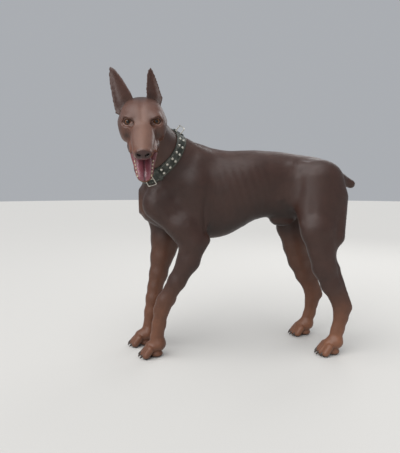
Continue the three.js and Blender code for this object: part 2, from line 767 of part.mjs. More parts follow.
{
  const slab = new THREE.BoxGeometry(COLLAR_REACH * 4, COLLAR_WIDTH, COLLAR_REACH * 4);
  slab.applyMatrix4(new THREE.Matrix4().makeBasis(toNape, axisN, toLeft).setPosition(...COLLAR_CENTRE));
  const outer = solid(facet(grown(wholeField, COLLAR_CLEARANCE + COLLAR_THICKNESS), ...COLLAR_GRID));
  const ball = new THREE.SphereGeometry(COLLAR_REACH, 16, 10).translate(...COLLAR_CENTRE);
  let band = outer.intersect(solid(slab)).intersect(solid(ball));

  for (const turn of STUD_TURNS) {
    for (const row of [-1, 1]) {
      const stud = new THREE.SphereGeometry(STUD_RADIUS, 6, 3).scale(1, 1, 0.6);
      stud.translate(0, row * STUD_ROW, COLLAR_THICKNESS + 0.6);
      band = band.add(solid(stud.applyMatrix4(collarFrame(turn, 0))));
    }
  }
  band = band.subtract(clearOf(bodyField, TORSO_GRID, COLLAR_CLEARANCE));
  band = band.subtract(clearOf(wholeField, NECK_GRID, COLLAR_CLEARANCE));
  add('collar', toGeometry(largest(band)), LEATHER);
}

function rectangularRing(width, height, wire) {
  const outline = new THREE.Shape();
  outline.moveTo(-width / 2, -height / 2);
  outline.lineTo(width / 2, -height / 2);
  outline.lineTo(width / 2, height / 2);
  outline.lineTo(-width / 2, height / 2);
  const hole = new THREE.Path();
  const w = width / 2 - wire;
  const h = height / 2 - wire;
  hole.moveTo(-w, -h);
  hole.lineTo(-w, h);
  hole.lineTo(w, h);
  hole.lineTo(w, -h);
  outline.holes.push(hole);
  return new THREE.ExtrudeGeometry(outline, { depth: wire, bevelEnabled: false });
}

// The metal stands off the leather by the gap
{
  const lift = COLLAR_CLEARANCE + COLLAR_THICKNESS;
  const leather = solid(facet(grown(wholeField, lift + GAP), ...COLLAR_GRID));
  const frame = rectangularRing(BUCKLE_LENGTH, COLLAR_WIDTH + 12, BUCKLE_WIRE);
  frame.applyMatrix4(collarFrame(BUCKLE_TURN, lift + 0.8));
  add('buckle', toGeometry(largest(solid(frame).subtract(leather))), METAL);
  const loop = rectangularRing(RING_WIDTH, RING_HEIGHT, RING_WIRE).rotateX(Math.PI / 2).translate(0, 0, 12);
  loop.applyMatrix4(collarFrame(RING_TURN, lift - 1));
  add('collar_ring', toGeometry(largest(solid(loop).subtract(leather))), METAL);
}

// The origin stands on the floor under the middle of the model
const box = new THREE.Box3().setFromObject(model);
const middle = box.getCenter(new THREE.Vector3());
for (const mesh of model.children) mesh.geometry.translate(-middle.x, -middle.y, -box.min.z);

export default model;
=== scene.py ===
"""A life-size doberman pinscher, dressed in skin, short coat and collar round its CAD frame."""
import math

import bmesh
import bpy
import numpy as np
from mathutils import Matrix, Vector
from mathutils.bvhtree import BVHTree


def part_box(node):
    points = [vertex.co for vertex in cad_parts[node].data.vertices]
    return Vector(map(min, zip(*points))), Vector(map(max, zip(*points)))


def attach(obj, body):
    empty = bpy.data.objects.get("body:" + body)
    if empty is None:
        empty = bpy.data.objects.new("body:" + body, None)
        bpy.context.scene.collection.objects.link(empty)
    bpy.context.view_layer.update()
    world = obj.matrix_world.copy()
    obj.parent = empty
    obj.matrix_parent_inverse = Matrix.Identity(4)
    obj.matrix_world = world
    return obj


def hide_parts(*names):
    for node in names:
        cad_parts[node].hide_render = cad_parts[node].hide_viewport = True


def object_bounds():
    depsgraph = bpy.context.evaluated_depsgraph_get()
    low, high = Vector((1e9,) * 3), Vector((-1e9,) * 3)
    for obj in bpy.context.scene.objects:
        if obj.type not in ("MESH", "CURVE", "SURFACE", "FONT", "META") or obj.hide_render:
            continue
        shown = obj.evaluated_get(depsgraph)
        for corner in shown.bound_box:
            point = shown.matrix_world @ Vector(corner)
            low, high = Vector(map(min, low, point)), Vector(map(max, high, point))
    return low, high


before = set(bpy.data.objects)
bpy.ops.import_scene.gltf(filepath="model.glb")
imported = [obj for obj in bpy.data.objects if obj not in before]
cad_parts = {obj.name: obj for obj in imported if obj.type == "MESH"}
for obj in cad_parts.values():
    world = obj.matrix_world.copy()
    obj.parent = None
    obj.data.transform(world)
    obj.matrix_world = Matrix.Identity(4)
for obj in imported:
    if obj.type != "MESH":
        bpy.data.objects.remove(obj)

CAD_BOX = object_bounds()
CAD_LOW, CAD_HIGH = (np.array(corner) for corner in CAD_BOX)

bl_info = {
    "name": "Doberman pinscher",
    "version": (1, 0, 0),
    "blender": (4, 5, 0),
    "location": "3D View > Sidebar > Doberman",
    "description": "Models the skin, coat, eyes, mouth, claws and collar of a standing dog",
    "category": "Object",
}

MM = 0.001
SIDES = (-1, 1)
FLESH = ["torso", "tail", "neck", "head"] + [
    f"{side}_{part}" for part in ("ear", "foreleg", "thigh", "hind_leg", "fore_paw", "hind_paw")
    for side in ("left", "right")]

# The head's frame: forward, left and up axes, with its origin midway between the eyes
HEAD_PITCH = math.radians(30)
HEAD_YAW = math.radians(1.5)
HEAD_ROLL = math.radians(2)
HEAD_FROM_WITHERS = Vector((-184, -260, 739))
EYE_BEHIND_ORIGIN = 9
JAW_HINGE = np.array([-70.0, 0.0, -40.0])
JAW_OPEN = math.radians(24)
EYE_RADIUS = 12.0
# The finished ball clears the lids a little
BALL_RADIUS = EYE_RADIUS * MM * 0.985


def middle(name):
    """The middle of a CAD node's box, in metres."""
    low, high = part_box(name)
    return (low + high) / 2


def head_axes():
    """Forward, left and up unit vectors of the head."""
    forward = Vector((math.sin(HEAD_YAW) * math.cos(HEAD_PITCH),
                      -math.cos(HEAD_YAW) * math.cos(HEAD_PITCH), -math.sin(HEAD_PITCH)))
    level = Vector((math.cos(HEAD_YAW), math.sin(HEAD_YAW), 0))
    left = Matrix.Rotation(HEAD_ROLL, 3, forward) @ level
    return forward, left, forward.cross(left)


HEAD_F, HEAD_L, HEAD_U = head_axes()
HEAD_ORIGIN = (middle("left_eye") + middle("right_eye")) / 2 + HEAD_F * EYE_BEHIND_ORIGIN * MM
WITHERS = HEAD_ORIGIN - HEAD_FROM_WITHERS * MM
TO_HEAD = np.array([HEAD_F, HEAD_L, HEAD_U])


def from_withers(p):
    """A place given in millimetres from the withers' foot, in metres of the frame."""
    return Vector(p) * MM + WITHERS


def from_head(p):
    """A place given in the head's frame in millimetres, in metres of the frame."""
    return HEAD_ORIGIN + (HEAD_F * p[0] + HEAD_L * p[1] + HEAD_U * p[2]) * MM


def body_mm(points):
    """Frame metres to millimetres from the withers' foot."""
    return (points - np.array(WITHERS)) / MM


def head_mm(points):
    """Frame metres to the head's frame in millimetres."""
    return ((points - np.array(HEAD_ORIGIN)) / MM) @ TO_HEAD.T


def jaw_turned(points, angle):
    """Places of the head's frame, turned open about the jaw's hinge."""
    c, s = math.cos(angle), math.sin(angle)
    q = points - JAW_HINGE
    return np.stack([q[:, 0] * c + q[:, 2] * s, q[:, 1], q[:, 2] * c - q[:, 0] * s], 1) + JAW_HINGE


def jaw_mm(points):
    """The head's frame to the closed lower jaw's frame."""
    return jaw_turned(points, -JAW_OPEN)


def jaw_point(p):
    """A place of the closed lower jaw, in the frame's metres."""
    return from_head(jaw_turned(np.array([p]), JAW_OPEN)[0])


def smooth(edge0, edge1, x):
    """A soft step from 0 at edge0 to 1 at edge1."""
    t = np.clip((x - edge0) / (edge1 - edge0), 0, 1)
    return t * t * (3 - 2 * t)


def spot(*spans):
    """A soft spot, whose spans each give a coordinate, its middle and its reach."""
    return np.exp(-sum(((value - centre) / reach) ** 2 for value, centre, reach in spans))


def folded(points):
    """Places with both sides laid on one."""
    return np.stack([points[:, 0], np.abs(points[:, 1]), points[:, 2]], 1)


def head_share(head, back, front, below, wide):
    """1 on the head, fading to 0 behind it, and 0 below and beside it."""
    return smooth(back, front, head[:, 0]) * (head[:, 2] > below) * (np.abs(head[:, 1]) < wide)


# Muscle fields, negative inside, in millimetres

def capsule(a, b, ra, rb, flat=1.0):
    """A tapered rod from a to b, narrowed across the body by flat."""
    scale = np.array([1, 1 / flat, 1])
    a, b = np.array(a, float), np.array(b, float)
    ab = (b - a) * scale
    length2 = ab @ ab

    def field(p):
        q = (p - a) * scale
        t = np.clip(q @ ab / length2, 0, 1)
        d = np.linalg.norm(q - t[:, None] * ab, axis=1)
        return (d - (ra + t * (rb - ra))) * min(1, flat)
    return field


def ellipsoid(centre, radii):
    """A rounded belly of muscle or bone."""
    centre, radii = np.array(centre, float), np.array(radii, float)

    def field(p):
        q = (p - centre) / radii
        k0 = np.linalg.norm(q, axis=1)
        k1 = np.linalg.norm(q / radii, axis=1) + 1e-9
        return k0 * (k0 - 1) / k1
    return field


def loft(stations, power, egg):
    """Sections along the first axis: place, top, bottom and half width."""
    rows = np.array(stations, float)
    places = rows[:, 0]

    def field(p):
        x = np.clip(p[:, 0], places[0], places[-1])
        i = np.clip(np.searchsorted(places, x) - 1, 0, len(places) - 2)
        t = ((x - places[i]) / (places[i + 1] - places[i]))[:, None]
        p0, p3 = rows[np.maximum(i - 1, 0), 1:], rows[np.minimum(i + 2, len(places) - 1), 1:]
        p1, p2 = rows[i, 1:], rows[i + 1, 1:]
        s = p1 + 0.5 * t * (p2 - p0 + t * (2 * p0 - 5 * p1 + 4 * p2 - p3 + t * (3 * (p1 - p2) + p3 - p0)))
        half = (s[:, 0] - s[:, 1]) / 2
        rise = (p[:, 2] - (s[:, 0] + s[:, 1]) / 2) / half
        wide = s[:, 2] * (1 + egg * np.clip(rise, -1, 1))
        q = (np.abs(p[:, 1] / wide) ** power + np.abs(rise) ** power) ** (1 / power)
        side = (q - 1) * np.minimum(half, wide)
        past = np.maximum(places[0] - p[:, 0], p[:, 0] - places[-1])
        return np.where(past > 0, np.hypot(np.maximum(side, 0), past), np.maximum(side, past))
    return field


def blend(fields, k):
    """Joins fields with a fillet about k wide."""
    def field(p):
        d = fields[0](p)
        for other in fields[1:]:
            e = other(p)
            h = np.maximum(k - np.abs(d - e), 0) / k
            d = np.minimum(d, e) - h * h * k / 4
        return d
    return field


def limb(joints, flat):
    """Rods through a leg's joints, each given with its radius."""
    parts = [capsule(a, b, ra, rb, flat) for (a, ra), (b, rb) in zip(joints, joints[1:])]
    return blend(parts, 14)


TRUNK = loft([
    (-206, 556, 476, 34), (-185, 588, 452, 62), (-150, 632, 430, 80), (-110, 682, 412, 88),
    (-71, 712, 400, 91), (-12, 704, 391, 96), (40, 692, 387, 101), (92, 684, 398, 104),
    (147, 685, 426, 101), (184, 686, 447, 94), (227, 684, 457, 84), (264, 682, 455, 77),
    (331, 673, 456, 74), (407, 662, 486, 74), (448, 640, 512, 64), (478, 617, 532, 46),
    (494, 600, 552, 24)], 2.15, 0.13)

NECK = blend([
    capsule((-52, -4, 612), (-126, -47, 662), 96, 75, 0.86),
    capsule((-126, -47, 662), (-180, -128, 742), 75, 60, 0.9),
    capsule((-90, -20, 560), (-160, -60, 640), 78, 56, 0.8)], 30)


def shoulder(side):
    """Shoulder blade, upper arm and the muscle over them."""
    return [
        capsule((-58, side * 58, 680), (-140, side * 76, 510), 32, 40, 0.75),
        capsule((-20, side * 62, 640), (-100, side * 80, 520), 44, 40, 0.6),
        ellipsoid((-45, side * 74, 560), (62, 34, 88))]


LEFT_FORE = blend([
    capsule((-142, -80, 505), (-66, -90, 430), 46, 42, 0.78),
    capsule((-30, -84, 560), (-8, -90, 410), 48, 24, 0.7),
    limb([((-66, -90, 440), 44), ((-34, -89, 384), 41), ((-46, -86, 326), 36), ((-84, -79, 256), 28),
          ((-102, -75, 226), 23), ((-122, -71, 192), 26), ((-134, -67, 160), 24), ((-142, -63, 112), 21),
          ((-150, -60, 66), 24)], 0.86),
    capsule((10, -90, 392), (-40, -84, 330), 13, 18)], 18)

RIGHT_FORE = blend([
    capsule((-158, 76, 500), (-120, 86, 430), 46, 44, 0.78),
    capsule((-60, 80, 560), (-86, 86, 410), 50, 26, 0.7),
    limb([((-122, 86, 440), 46), ((-120, 84, 376), 46), ((-130, 79, 312), 38), ((-142, 73, 252), 31),
          ((-154, 66, 208), 25), ((-160, 61, 166), 26), ((-168, 58, 120), 23), ((-176, 55, 66), 24)], 0.86),
    capsule((-68, 86, 386), (-98, 82, 330), 12, 18)], 18)


def thigh(hip, stifle, hamstring, side):
    """Muscles between hip and stifle, and the rump over the hip."""
    x, y, z = hip
    return [
        capsule(hip, stifle, 78, 50, 0.6),
        capsule((x + 36, y + side * 4, z - 52), hamstring, 58, 34, 0.62),
        capsule((x - 58, y - side * 12, z - 40), stifle, 42, 42, 0.5),
        ellipsoid((x + 6, y - side * 8, z + 6), (66, 42, 58))]


LEFT_HIND = blend([
    *thigh((394, -72, 574), (374, -104, 424), (436, -102, 400), -1),
    limb([((378, -104, 418), 48), ((392, -103, 356), 44), ((404, -101, 300), 40), ((428, -99, 238), 31),
          ((450, -98, 196), 23), ((464, -98, 160), 23), ((466, -98, 126), 22), ((456, -98, 86), 20),
          ((446, -98, 54), 22)], 0.72),
    capsule((440, -100, 290), (488, -98, 160), 14, 15, 0.7)], 18)

RIGHT_HIND = blend([
    *thigh((386, 72, 568), (348, 102, 420), (412, 100, 388), 1),
    limb([((356, 102, 412), 48), ((368, 103, 344), 44), ((382, 103, 288), 38), ((404, 103, 232), 30),
          ((424, 103, 192), 23), ((436, 104, 156), 23), ((436, 104, 124), 22), ((429, 104, 84), 20),
          ((414, 105, 50), 22)], 0.72),
    capsule((412, 102, 284), (464, 104, 156), 14, 14, 0.7)], 18)

# Paws: heel, length and width
PAWS = {
    "left_fore_paw": ((-146, -59, 0), 50, 58),
    "right_fore_paw": ((-184, 54, 0), 52, 58),
    "left_hind_paw": ((448, -98, 0), 52, 54),
    "right_hind_paw": ((418, 106, 0), 52, 54),
}
TOE_PLACES = (-1.5, -0.5, 0.5, 1.5)
# The outer toes are this much shorter
TOE_STEP = 7
TOE_SPLAY = 0.3


def paw(heel, length, width):
    """Pastern, pad and four toes."""
    x, y, _ = heel
    parts = [capsule((x + 2, y, 44), (x - length * 0.45, y, 34), 25, 21, width / 50),
             ellipsoid((x - length * 0.12, y, 11), (22, 20, 14))]
    for place in TOE_PLACES:
        reach = length - TOE_STEP * abs(place)
        knuckle = (x - reach * 0.66, y + place * width * 0.26, 31)
        tip = (x - reach, y + place * width * TOE_SPLAY, 12.5)
        parts.append(capsule(knuckle, tip, 13.5, 13.2))
    return blend(parts, 4)


TAIL = capsule((484, 0, 592), (528, 0, 572), 21, 15.5)
SHEATH = capsule((262, 0, 446), (318, 0, 436), 15, 13, 0.9)
BODY = blend([blend([TRUNK, NECK, *shoulder(-1), *shoulder(1), LEFT_FORE, RIGHT_FORE,
                     LEFT_HIND, RIGHT_HIND, TAIL, SHEATH], 24)]
             + [paw(*sizes) for sizes in PAWS.values()], 10)

SKULL = loft([
    (-134, 16, -34, 30), (-112, 33, -52, 50), (-80, 40, -60, 61), (-46, 40, -62, 65),
    (-18, 33, -60, 60), (6, 20, -56, 46), (28, 8, -53, 35.5), (60, 2, -52, 34),
    (94, -5, -51, 30), (118, -11, -50, 26), (132, -20, -46, 18)], 2.4, 0.04)

JAW = loft([
    (-70, -40, -78, 42), (-20, -44, -84, 45), (24, -48, -84, 38), (60, -50, -80, 30),
    (90, -51, -77, 25), (104, -52, -73, 19), (112, -55, -68, 10)], 2.3, 0.12)

# Cheeks, brows, flews and lip corners
HEAD_PAIRS = [((-34, 46, -26), (50, 22, 40)), ((-9, 35, 15), (18, 18, 9)),
              ((50, 31, -46), (44, 8, 13)), ((8, 36, -60), (32, 9, 22))]
HEAD = blend([
    SKULL,
    lambda p: JAW(jaw_mm(p)),
    capsule((20, 0, -14), (120, 0, -25), 21, 14),
    *(ellipsoid((f, side * l, u), radii) for (f, l, u), radii in HEAD_PAIRS for side in SIDES),
    ellipsoid((128, 0, -27), (13, 21, 14)),
    capsule((-62, 0, -62), (-118, 0, -66), 40, 56)], 9)
HOLLOWS = [ellipsoid((14, side * 30, 2), (12, 8, 8)) for side in SIDES]
HOLLOW_SOFTNESS = 8


def face(p):
    """The head's field, less the hollows beside the bridge."""
    q = head_mm(p)
    d = HEAD(q)
    for hollow in HOLLOWS:
        e = -hollow(q)
        h = np.maximum(HOLLOW_SOFTNESS - np.abs(d - e), 0) / HOLLOW_SOFTNESS
        d = np.maximum(d, e) + h * h * HOLLOW_SOFTNESS / 4
    return d


def flesh(points):
    """The whole dog's field at places in metres."""
    return blend([lambda p: BODY(body_mm(p)), face], 10)(points)


def slope(points, field, step=0.4 * MM):
    """The field and its gradient per millimetre."""
    d = field(points)
    grad = np.empty_like(points)
    for axis in range(3):
        moved = points.copy()
        moved[:, axis] += step
        grad[:, axis] = (field(moved) - d) / (step / MM)
    return d, grad


# Mesh helpers

def rows_of(items, field, width=3, kind=np.float32):
    """A row of numbers for each vertex, edge, corner or triangle."""
    rows = np.empty(len(items) * width, kind)
    items.foreach_get(field, rows)
    return rows.reshape(-1, width)


def store(items, field, rows, kind=np.float32):
    """Writes a row of numbers to each vertex, corner or triangle."""
    items.foreach_set(field, np.asarray(rows, kind).ravel())


def coords(mesh):
    return rows_of(mesh.vertices, "co").astype(float)


def vertex_normals(mesh):
    return rows_of(mesh.vertices, "normal").astype(float)


def set_coords(mesh, co):
    """Moves the vertices, none past the CAD model's box."""
    store(mesh.vertices, "co", np.clip(co, CAD_LOW, CAD_HIGH))
    mesh.update()


def paint(mesh, name, values):
    """A colour attribute on the vertices, from one row of three or one number each."""
    values = np.asarray(values, float)
    rgba = np.ones((len(mesh.vertices), 4))
    rgba[:, :3] = values if values.ndim == 2 else values[:, None]
    store(mesh.attributes.new(name, "FLOAT_COLOR", "POINT").data, "color", rgba)


def dress(mesh, colour, bare, strands):
    """The attributes that the short coat's material reads."""
    paint(mesh, "markings_and_painted_light", colour)
    paint(mesh, "bare", bare)
    store(mesh.attributes.new("lie", "FLOAT_VECTOR", "POINT").data, "vector", strands)


def add_object(name, data):
    """A new object in the scene."""
    made = bpy.data.objects.new(name, data)
    bpy.context.scene.collection.objects.link(made)
    return made


def mesh_from(bm, name):
    """Writes a bmesh to a new mesh with smooth faces."""
    mesh = bpy.data.meshes.new(name)
    bm.to_mesh(mesh)
    bm.free()
    mesh.shade_smooth()
    return mesh


def new_object(name, shape, material, slot, *node_names):
    """A finished piece that rides on the body and stands for its CAD nodes."""
    mesh = mesh_from(shape, name) if isinstance(shape, bmesh.types.BMesh) else shape
    piece = add_object(name, mesh)
    mesh.materials.append(material)
    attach(piece, "root")
    if node_names:
        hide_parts(*node_names)


def linear(hex_colour):
    """An sRGB hex colour as linear red, green and blue."""
    parts = [int(hex_colour[i:i + 2], 16) / 255 for i in (1, 3, 5)]
    return [c / 12.92 if c <= 0.04045 else ((c + 0.055) / 1.055) ** 2.4 for c in parts]


def sheet(columns, rows, place):
    """A closed skin laid by a function of u, round it, and v, along it, each from 0 to 1."""
    bm = bmesh.new()
    bmesh.ops.create_grid(bm, x_segments=columns, y_segments=rows, size=0.5)
    for v in bm.verts:
        v.co = place(v.co.x + 0.5, v.co.y + 0.5)
    bmesh.ops.remove_doubles(bm, verts=bm.verts, dist=1e-5)
    return bm


# Materials

def connect(tree, target, **inputs):
    """Sets or links a node's inputs, by name or as i1 by number."""
    for key, value in inputs.items():
        socket = target.inputs[int(key[1:]) if key[1:].isdigit() else key.replace("_", " ")]
        if isinstance(value, bpy.types.NodeSocket):
            tree.links.new(value, socket)
        else:
            socket.default_value = value


def node(tree, kind, output=0, settings=None, stops=(), **inputs):
    """Adds a node with its settings, colour stops and inputs, and gives one of its outputs."""
    made = tree.nodes.new("ShaderNode" + kind)
    for key, value in (settings or {}).items():
        setattr(made, key, value)
    if stops:
        band = made.color_ramp.elements
        while len(band) < len(stops):
            band.new(0.5)
        for element, (at, colour) in zip(band, stops):
            element.position = at
            element.color = (*(linear(colour) if isinstance(colour, str) else colour), 1)
    connect(tree, made, **inputs)
    return made.outputs[output]


def shader(name):
    """A material, its node tree and the place on the object."""
    material = bpy.data.materials.new(name)
    material.use_nodes = True
    return material, material.node_tree, node(material.node_tree, "TexCoord", "Object")


def finish(tree, **inputs):
    """Sets or links the inputs of a material's Principled shader."""
    connect(tree, tree.nodes["Principled BSDF"], **inputs)


def grained(name, dark, light, scale, relief=0.0, **inputs):
    """A material in a fine grain between two colours, which may also raise its surface."""
    material, tree, place = shader(name)
    grain = node(tree, "TexNoise", "Fac", Vector=place, Scale=scale)
    finish(tree, Base_Color=node(tree, "ValToRGB", stops=[(0, dark), (1, light)], Fac=grain), **inputs)
    if relief:
        finish(tree, Normal=node(tree, "Bump", Strength=0.3, Distance=relief, Height=grain))
    return material


def short_coat_material():
    """Short, hard, close-lying hair: satin, with a faint sheen where it turns away and strands along its lie."""
    material, tree, place = shader("short_flat_hair")
    marks = node(tree, "Attribute", "Color", {"attribute_name": "markings_and_painted_light"})
    bare = node(tree, "Attribute", "Fac", {"attribute_name": "bare"})
    lie = node(tree, "Attribute", "Vector", {"attribute_name": "lie"})
    # The strands are drawn 1.3 mm apart and 9 mm long, coarse enough to show
    strands = node(tree, "TexNoise", "Fac", Vector=lie, Scale=1.0, Detail=3.0, Roughness=0.6)
    # Broad patches of light and dark hair, about 40 mm across
    patches = node(tree, "TexNoise", "Fac", Vector=place, Scale=25.0, Detail=2.0)
    shade = node(tree, "MapRange", Value=strands, From_Min=0.3, From_Max=0.7, To_Min=0.86, To_Max=1.14)
    tone = node(tree, "MapRange", Value=patches, From_Min=0.3, From_Max=0.7, To_Min=0.9, To_Max=1.1)
    both = node(tree, "Math", settings={"operation": "MULTIPLY"}, i0=shade, i1=tone)
    level = node(tree, "Mix", settings={"data_type": "FLOAT"}, Factor=bare, i2=both, i3=1.0)
    # Bare skin of nose, lips, mouth and pads is pebbled at about 1.4 mm, and wetter than hair
    pebbles = node(tree, "TexVoronoi", settings={"feature": "SMOOTH_F1"}, Vector=place, Scale=700.0)
    height = node(tree, "Mix", settings={"data_type": "FLOAT"}, Factor=bare, i2=strands, i3=pebbles)
    finish(tree, Sheen_Weight=0.03, Sheen_Roughness=0.35, Sheen_Tint=(0.75, 0.66, 0.62, 1), Specular_IOR_Level=0.42,
           Base_Color=node(tree, "VectorMath", settings={"operation": "SCALE"}, i0=marks, Scale=level),
           Roughness=node(tree, "MapRange", Value=bare, To_Min=0.43, To_Max=0.3),
           Normal=node(tree, "Bump", Strength=0.3, Distance=0.0008, Height=height))
    return material


def eye_material():
    """Wet eyeball: amber iris with fibres and a dark rim, black pupil, brown-veined white."""
    material, tree, place = shader("eyeball_iris")
    angle = node(tree, "Attribute", "Fac", {"attribute_name": "iris"})
    fibres = node(tree, "TexNoise", "Fac", Vector=place, Scale=900.0, Detail=4.0)
    shift = node(tree, "Math", settings={"operation": "MULTIPLY_ADD"}, i0=fibres, i1=0.05, i2=angle)
    # Stops by the angle from the pupil's middle, where 1 is a quarter turn
    stops = [(0.0, "#050403"), (0.22, "#060403"), (0.26, "#3e2414"), (0.37, "#774c27"), (0.47, "#4f2d18"),
             (0.53, "#1c100b"), (0.58, "#3a2620"), (0.9, "#6e5148")]
    finish(tree, Roughness=0.2, Specular_IOR_Level=0.25, Coat_Weight=0.35, Coat_Roughness=0.03,
           Base_Color=node(tree, "ValToRGB", stops=stops, Fac=shift))
    return material


def tongue_material():
    """Moist pink tongue with fine papillae and soft blotches."""
    material, tree, place = shader("moist_tongue")
    marks = node(tree, "Attribute", "Color", {"attribute_name": "markings_and_painted_light"})
    # Papillae about 1.2 mm apart
    papillae = node(tree, "TexVoronoi", Vector=place, Scale=850.0)
    blotch = node(tree, "TexNoise", "Fac", Vector=place, Scale=120.0, Detail=3.0)
    tone = node(tree, "MapRange", Value=blotch, To_Min=0.82, To_Max=1.16)
    finish(tree, Roughness=0.28, Coat_Weight=0.3, Coat_Roughness=0.15,
           Subsurface_Weight=0.2, Subsurface_Radius=(0.004, 0.0015, 0.001),
           Base_Color=node(tree, "VectorMath", settings={"operation": "SCALE"}, i0=marks, Scale=tone),
           Normal=node(tree, "Bump", Strength=0.35, Distance=0.0006, Height=papillae))
    return material


def leather_material(colour):
    """Oiled bridle leather: pebbled grain of about 1 mm, satin, paler and duller where it has rubbed."""
    material, tree, place = shader("oiled_bridle_leather")
    grain = node(tree, "TexVoronoi", settings={"feature": "SMOOTH_F1"}, Vector=place, Scale=950.0)
    wear = node(tree, "TexNoise", "Fac", Vector=place, Scale=55.0, Detail=6.0, Roughness=0.65)
    finish(tree, Specular_IOR_Level=0.45,
           Base_Color=node(tree, "ValToRGB", stops=[(0.48, colour), (0.86, "#6f706a")], Fac=wear),
           Roughness=node(tree, "MapRange", Value=wear, To_Min=0.38, To_Max=0.68),
           Normal=node(tree, "Bump", Strength=0.5, Distance=0.0005, Height=grain))
    return material


def nickel_material():
    """Nickel-plated steel: warm grey metal with fine scratches and dull handling marks."""
    material, tree, place = shader("nickel_plated_steel")
    marks = node(tree, "TexNoise", "Fac", Vector=place, Scale=400.0, Detail=6.0)
    rough = node(tree, "MapRange", Value=marks, From_Min=0.3, From_Max=0.7, To_Min=0.18, To_Max=0.42)
    finish(tree, Metallic=1.0, Base_Color=(*linear("#c9c5ba"), 1), Roughness=rough,
           Normal=node(tree, "Bump", Strength=0.12, Distance=0.0003, Height=marks))
    return material


# Sizes and colours that a user would change

def length_property(name, description, millimetres):
    return bpy.props.FloatProperty(name=name, description=description, default=millimetres * MM, unit="LENGTH")


def colour_property(name, description, hex_colour):
    return bpy.props.FloatVectorProperty(name=name, description=description, default=linear(hex_colour),
                                         subtype="COLOR")


class DobermanSizes(bpy.types.PropertyGroup):
    coat_depth: length_property("Coat depth", "How far the skin lies inside the solids", 0.8)
    body_hair: length_property("Body hair", "Length of the hair on the trunk", 6.5)
    face_hair: length_property("Face hair", "Length of the hair on face and feet", 2.8)
    tufts: bpy.props.IntProperty(name="Tufts", description="Tufts on each piece of the coat", default=19000)
    collar_width: length_property("Collar width", "Width of the leather band", 32)
    collar_thickness: length_property("Collar thickness", "Thickness of the leather", 4.5)


class DobermanColours(bpy.types.PropertyGroup):
    body: colour_property("Body", "Brown of the body", "#38231c")
    head: colour_property("Head", "Lighter brown of the skull and bridge", "#583a2f")
    rust: colour_property("Rust", "Rust markings of legs and muzzle", "#643f2c")
    leather: colour_property("Leather", "Dark green-grey of the collar", "#23271f")


# Skin

COLLAR_CENTRE = from_withers((-136, -59, 670))
COLLAR_AXIS = Vector((-0.582, -0.635, 0.508)).normalized()
BODY_VOXEL = 5.6 * MM
HEAD_VOXEL = 2.8 * MM
# Half width, height and depth of the lids' opening, in millimetres
LID_OPENING = (10.2, 7.2, 6.4)
CORNEA_RISE = 0.07
# The eyes look at the camera
LOOK = Vector((0.027, -0.99, -0.128))
# Head and body meet under the collar with this gap to each side, which is then bridged
PARTING = 1.5 * MM
# The solids swell by this much so that they fuse; ears are thinner than two voxels, so they swell more
SWELL, EAR_SWELL = 0.4 * MM, 1.2 * MM
# No place of the skin moves farther than this as it settles
FARTHEST_SETTLE = 9 * MM
# The skin's lowest place above the floor
SOLE = 0.2 * MM


def joined_flesh():
    """Copies of the flesh and eye solids, merged and swollen a little so that they fuse."""
    bm = bmesh.new()
    for name in FLESH + ["left_eye", "right_eye"]:
        part = bmesh.new()
        part.from_mesh(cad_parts[name].data)
        bmesh.ops.remove_doubles(part, verts=part.verts, dist=1e-6)
        part.normal_update()
        swell = EAR_SWELL if name.endswith("ear") else SWELL
        for v in part.verts:
            v.co += v.normal * swell
        bm.from_mesh(mesh_from(part, "flesh_part"))
    return mesh_from(bm, "flesh_copy")


def remeshed(mesh, voxel):
    """The fused outer surface of a mesh at one voxel size."""
    holder = add_object("remesh_holder", mesh)
    modifier = holder.modifiers.new("voxel", "REMESH")
    modifier.mode = "VOXEL"
    modifier.voxel_size = voxel
    bpy.context.view_layer.update()
    out = bpy.data.meshes.new_from_object(holder.evaluated_get(bpy.context.evaluated_depsgraph_get()))
    bpy.data.objects.remove(holder)
    return out


def keep_largest(bm):
    """Deletes all but the largest connected surface."""
    seen, groups = set(), []
    for v in bm.verts:
        if v in seen:
            continue
        group, edge = {v}, [v]
        while edge:
            for e in edge.pop().link_edges:
                for w in e.verts:
                    if w not in group:
                        group.add(w)
                        edge.append(w)
        seen |= group
        groups.append(group)
    groups.sort(key=len)
    for group in groups[:-1]:
        bmesh.ops.delete(bm, geom=list(group), context="VERTS")


def skin_base():
    """A fine head and a coarser body, parted under the collar and bridged into one surface."""
    whole = joined_flesh()
    bm = bmesh.new()
    for voxel, side in ((HEAD_VOXEL, 1), (BODY_VOXEL, -1)):
        part = bmesh.new()
        part.from_mesh(remeshed(whole, voxel))
        bmesh.ops.bisect_plane(part, geom=part.verts[:] + part.edges[:] + part.faces[:], dist=1e-7,
                               plane_co=COLLAR_CENTRE + COLLAR_AXIS * (side * PARTING), plane_no=COLLAR_AXIS,
                               clear_inner=side > 0, clear_outer=side < 0)
        keep_largest(part)
        bm.from_mesh(mesh_from(part, "skin_part"))
    bmesh.ops.bridge_loops(bm, edges=[e for e in bm.edges if e.is_boundary])
    bmesh.ops.recalc_face_normals(bm, faces=bm.faces)
    return bm


def refine(bm, inside):
    """Halves the edges of the faces whose middles lie inside a zone."""
    middles = np.array([f.calc_center_median() for f in bm.faces])
    edges = {e for f, chosen in zip(bm.faces, inside(middles)) if chosen for e in f.edges}
    bmesh.ops.subdivide_edges(bm, edges=list(edges), cuts=1, use_grid_fill=True)


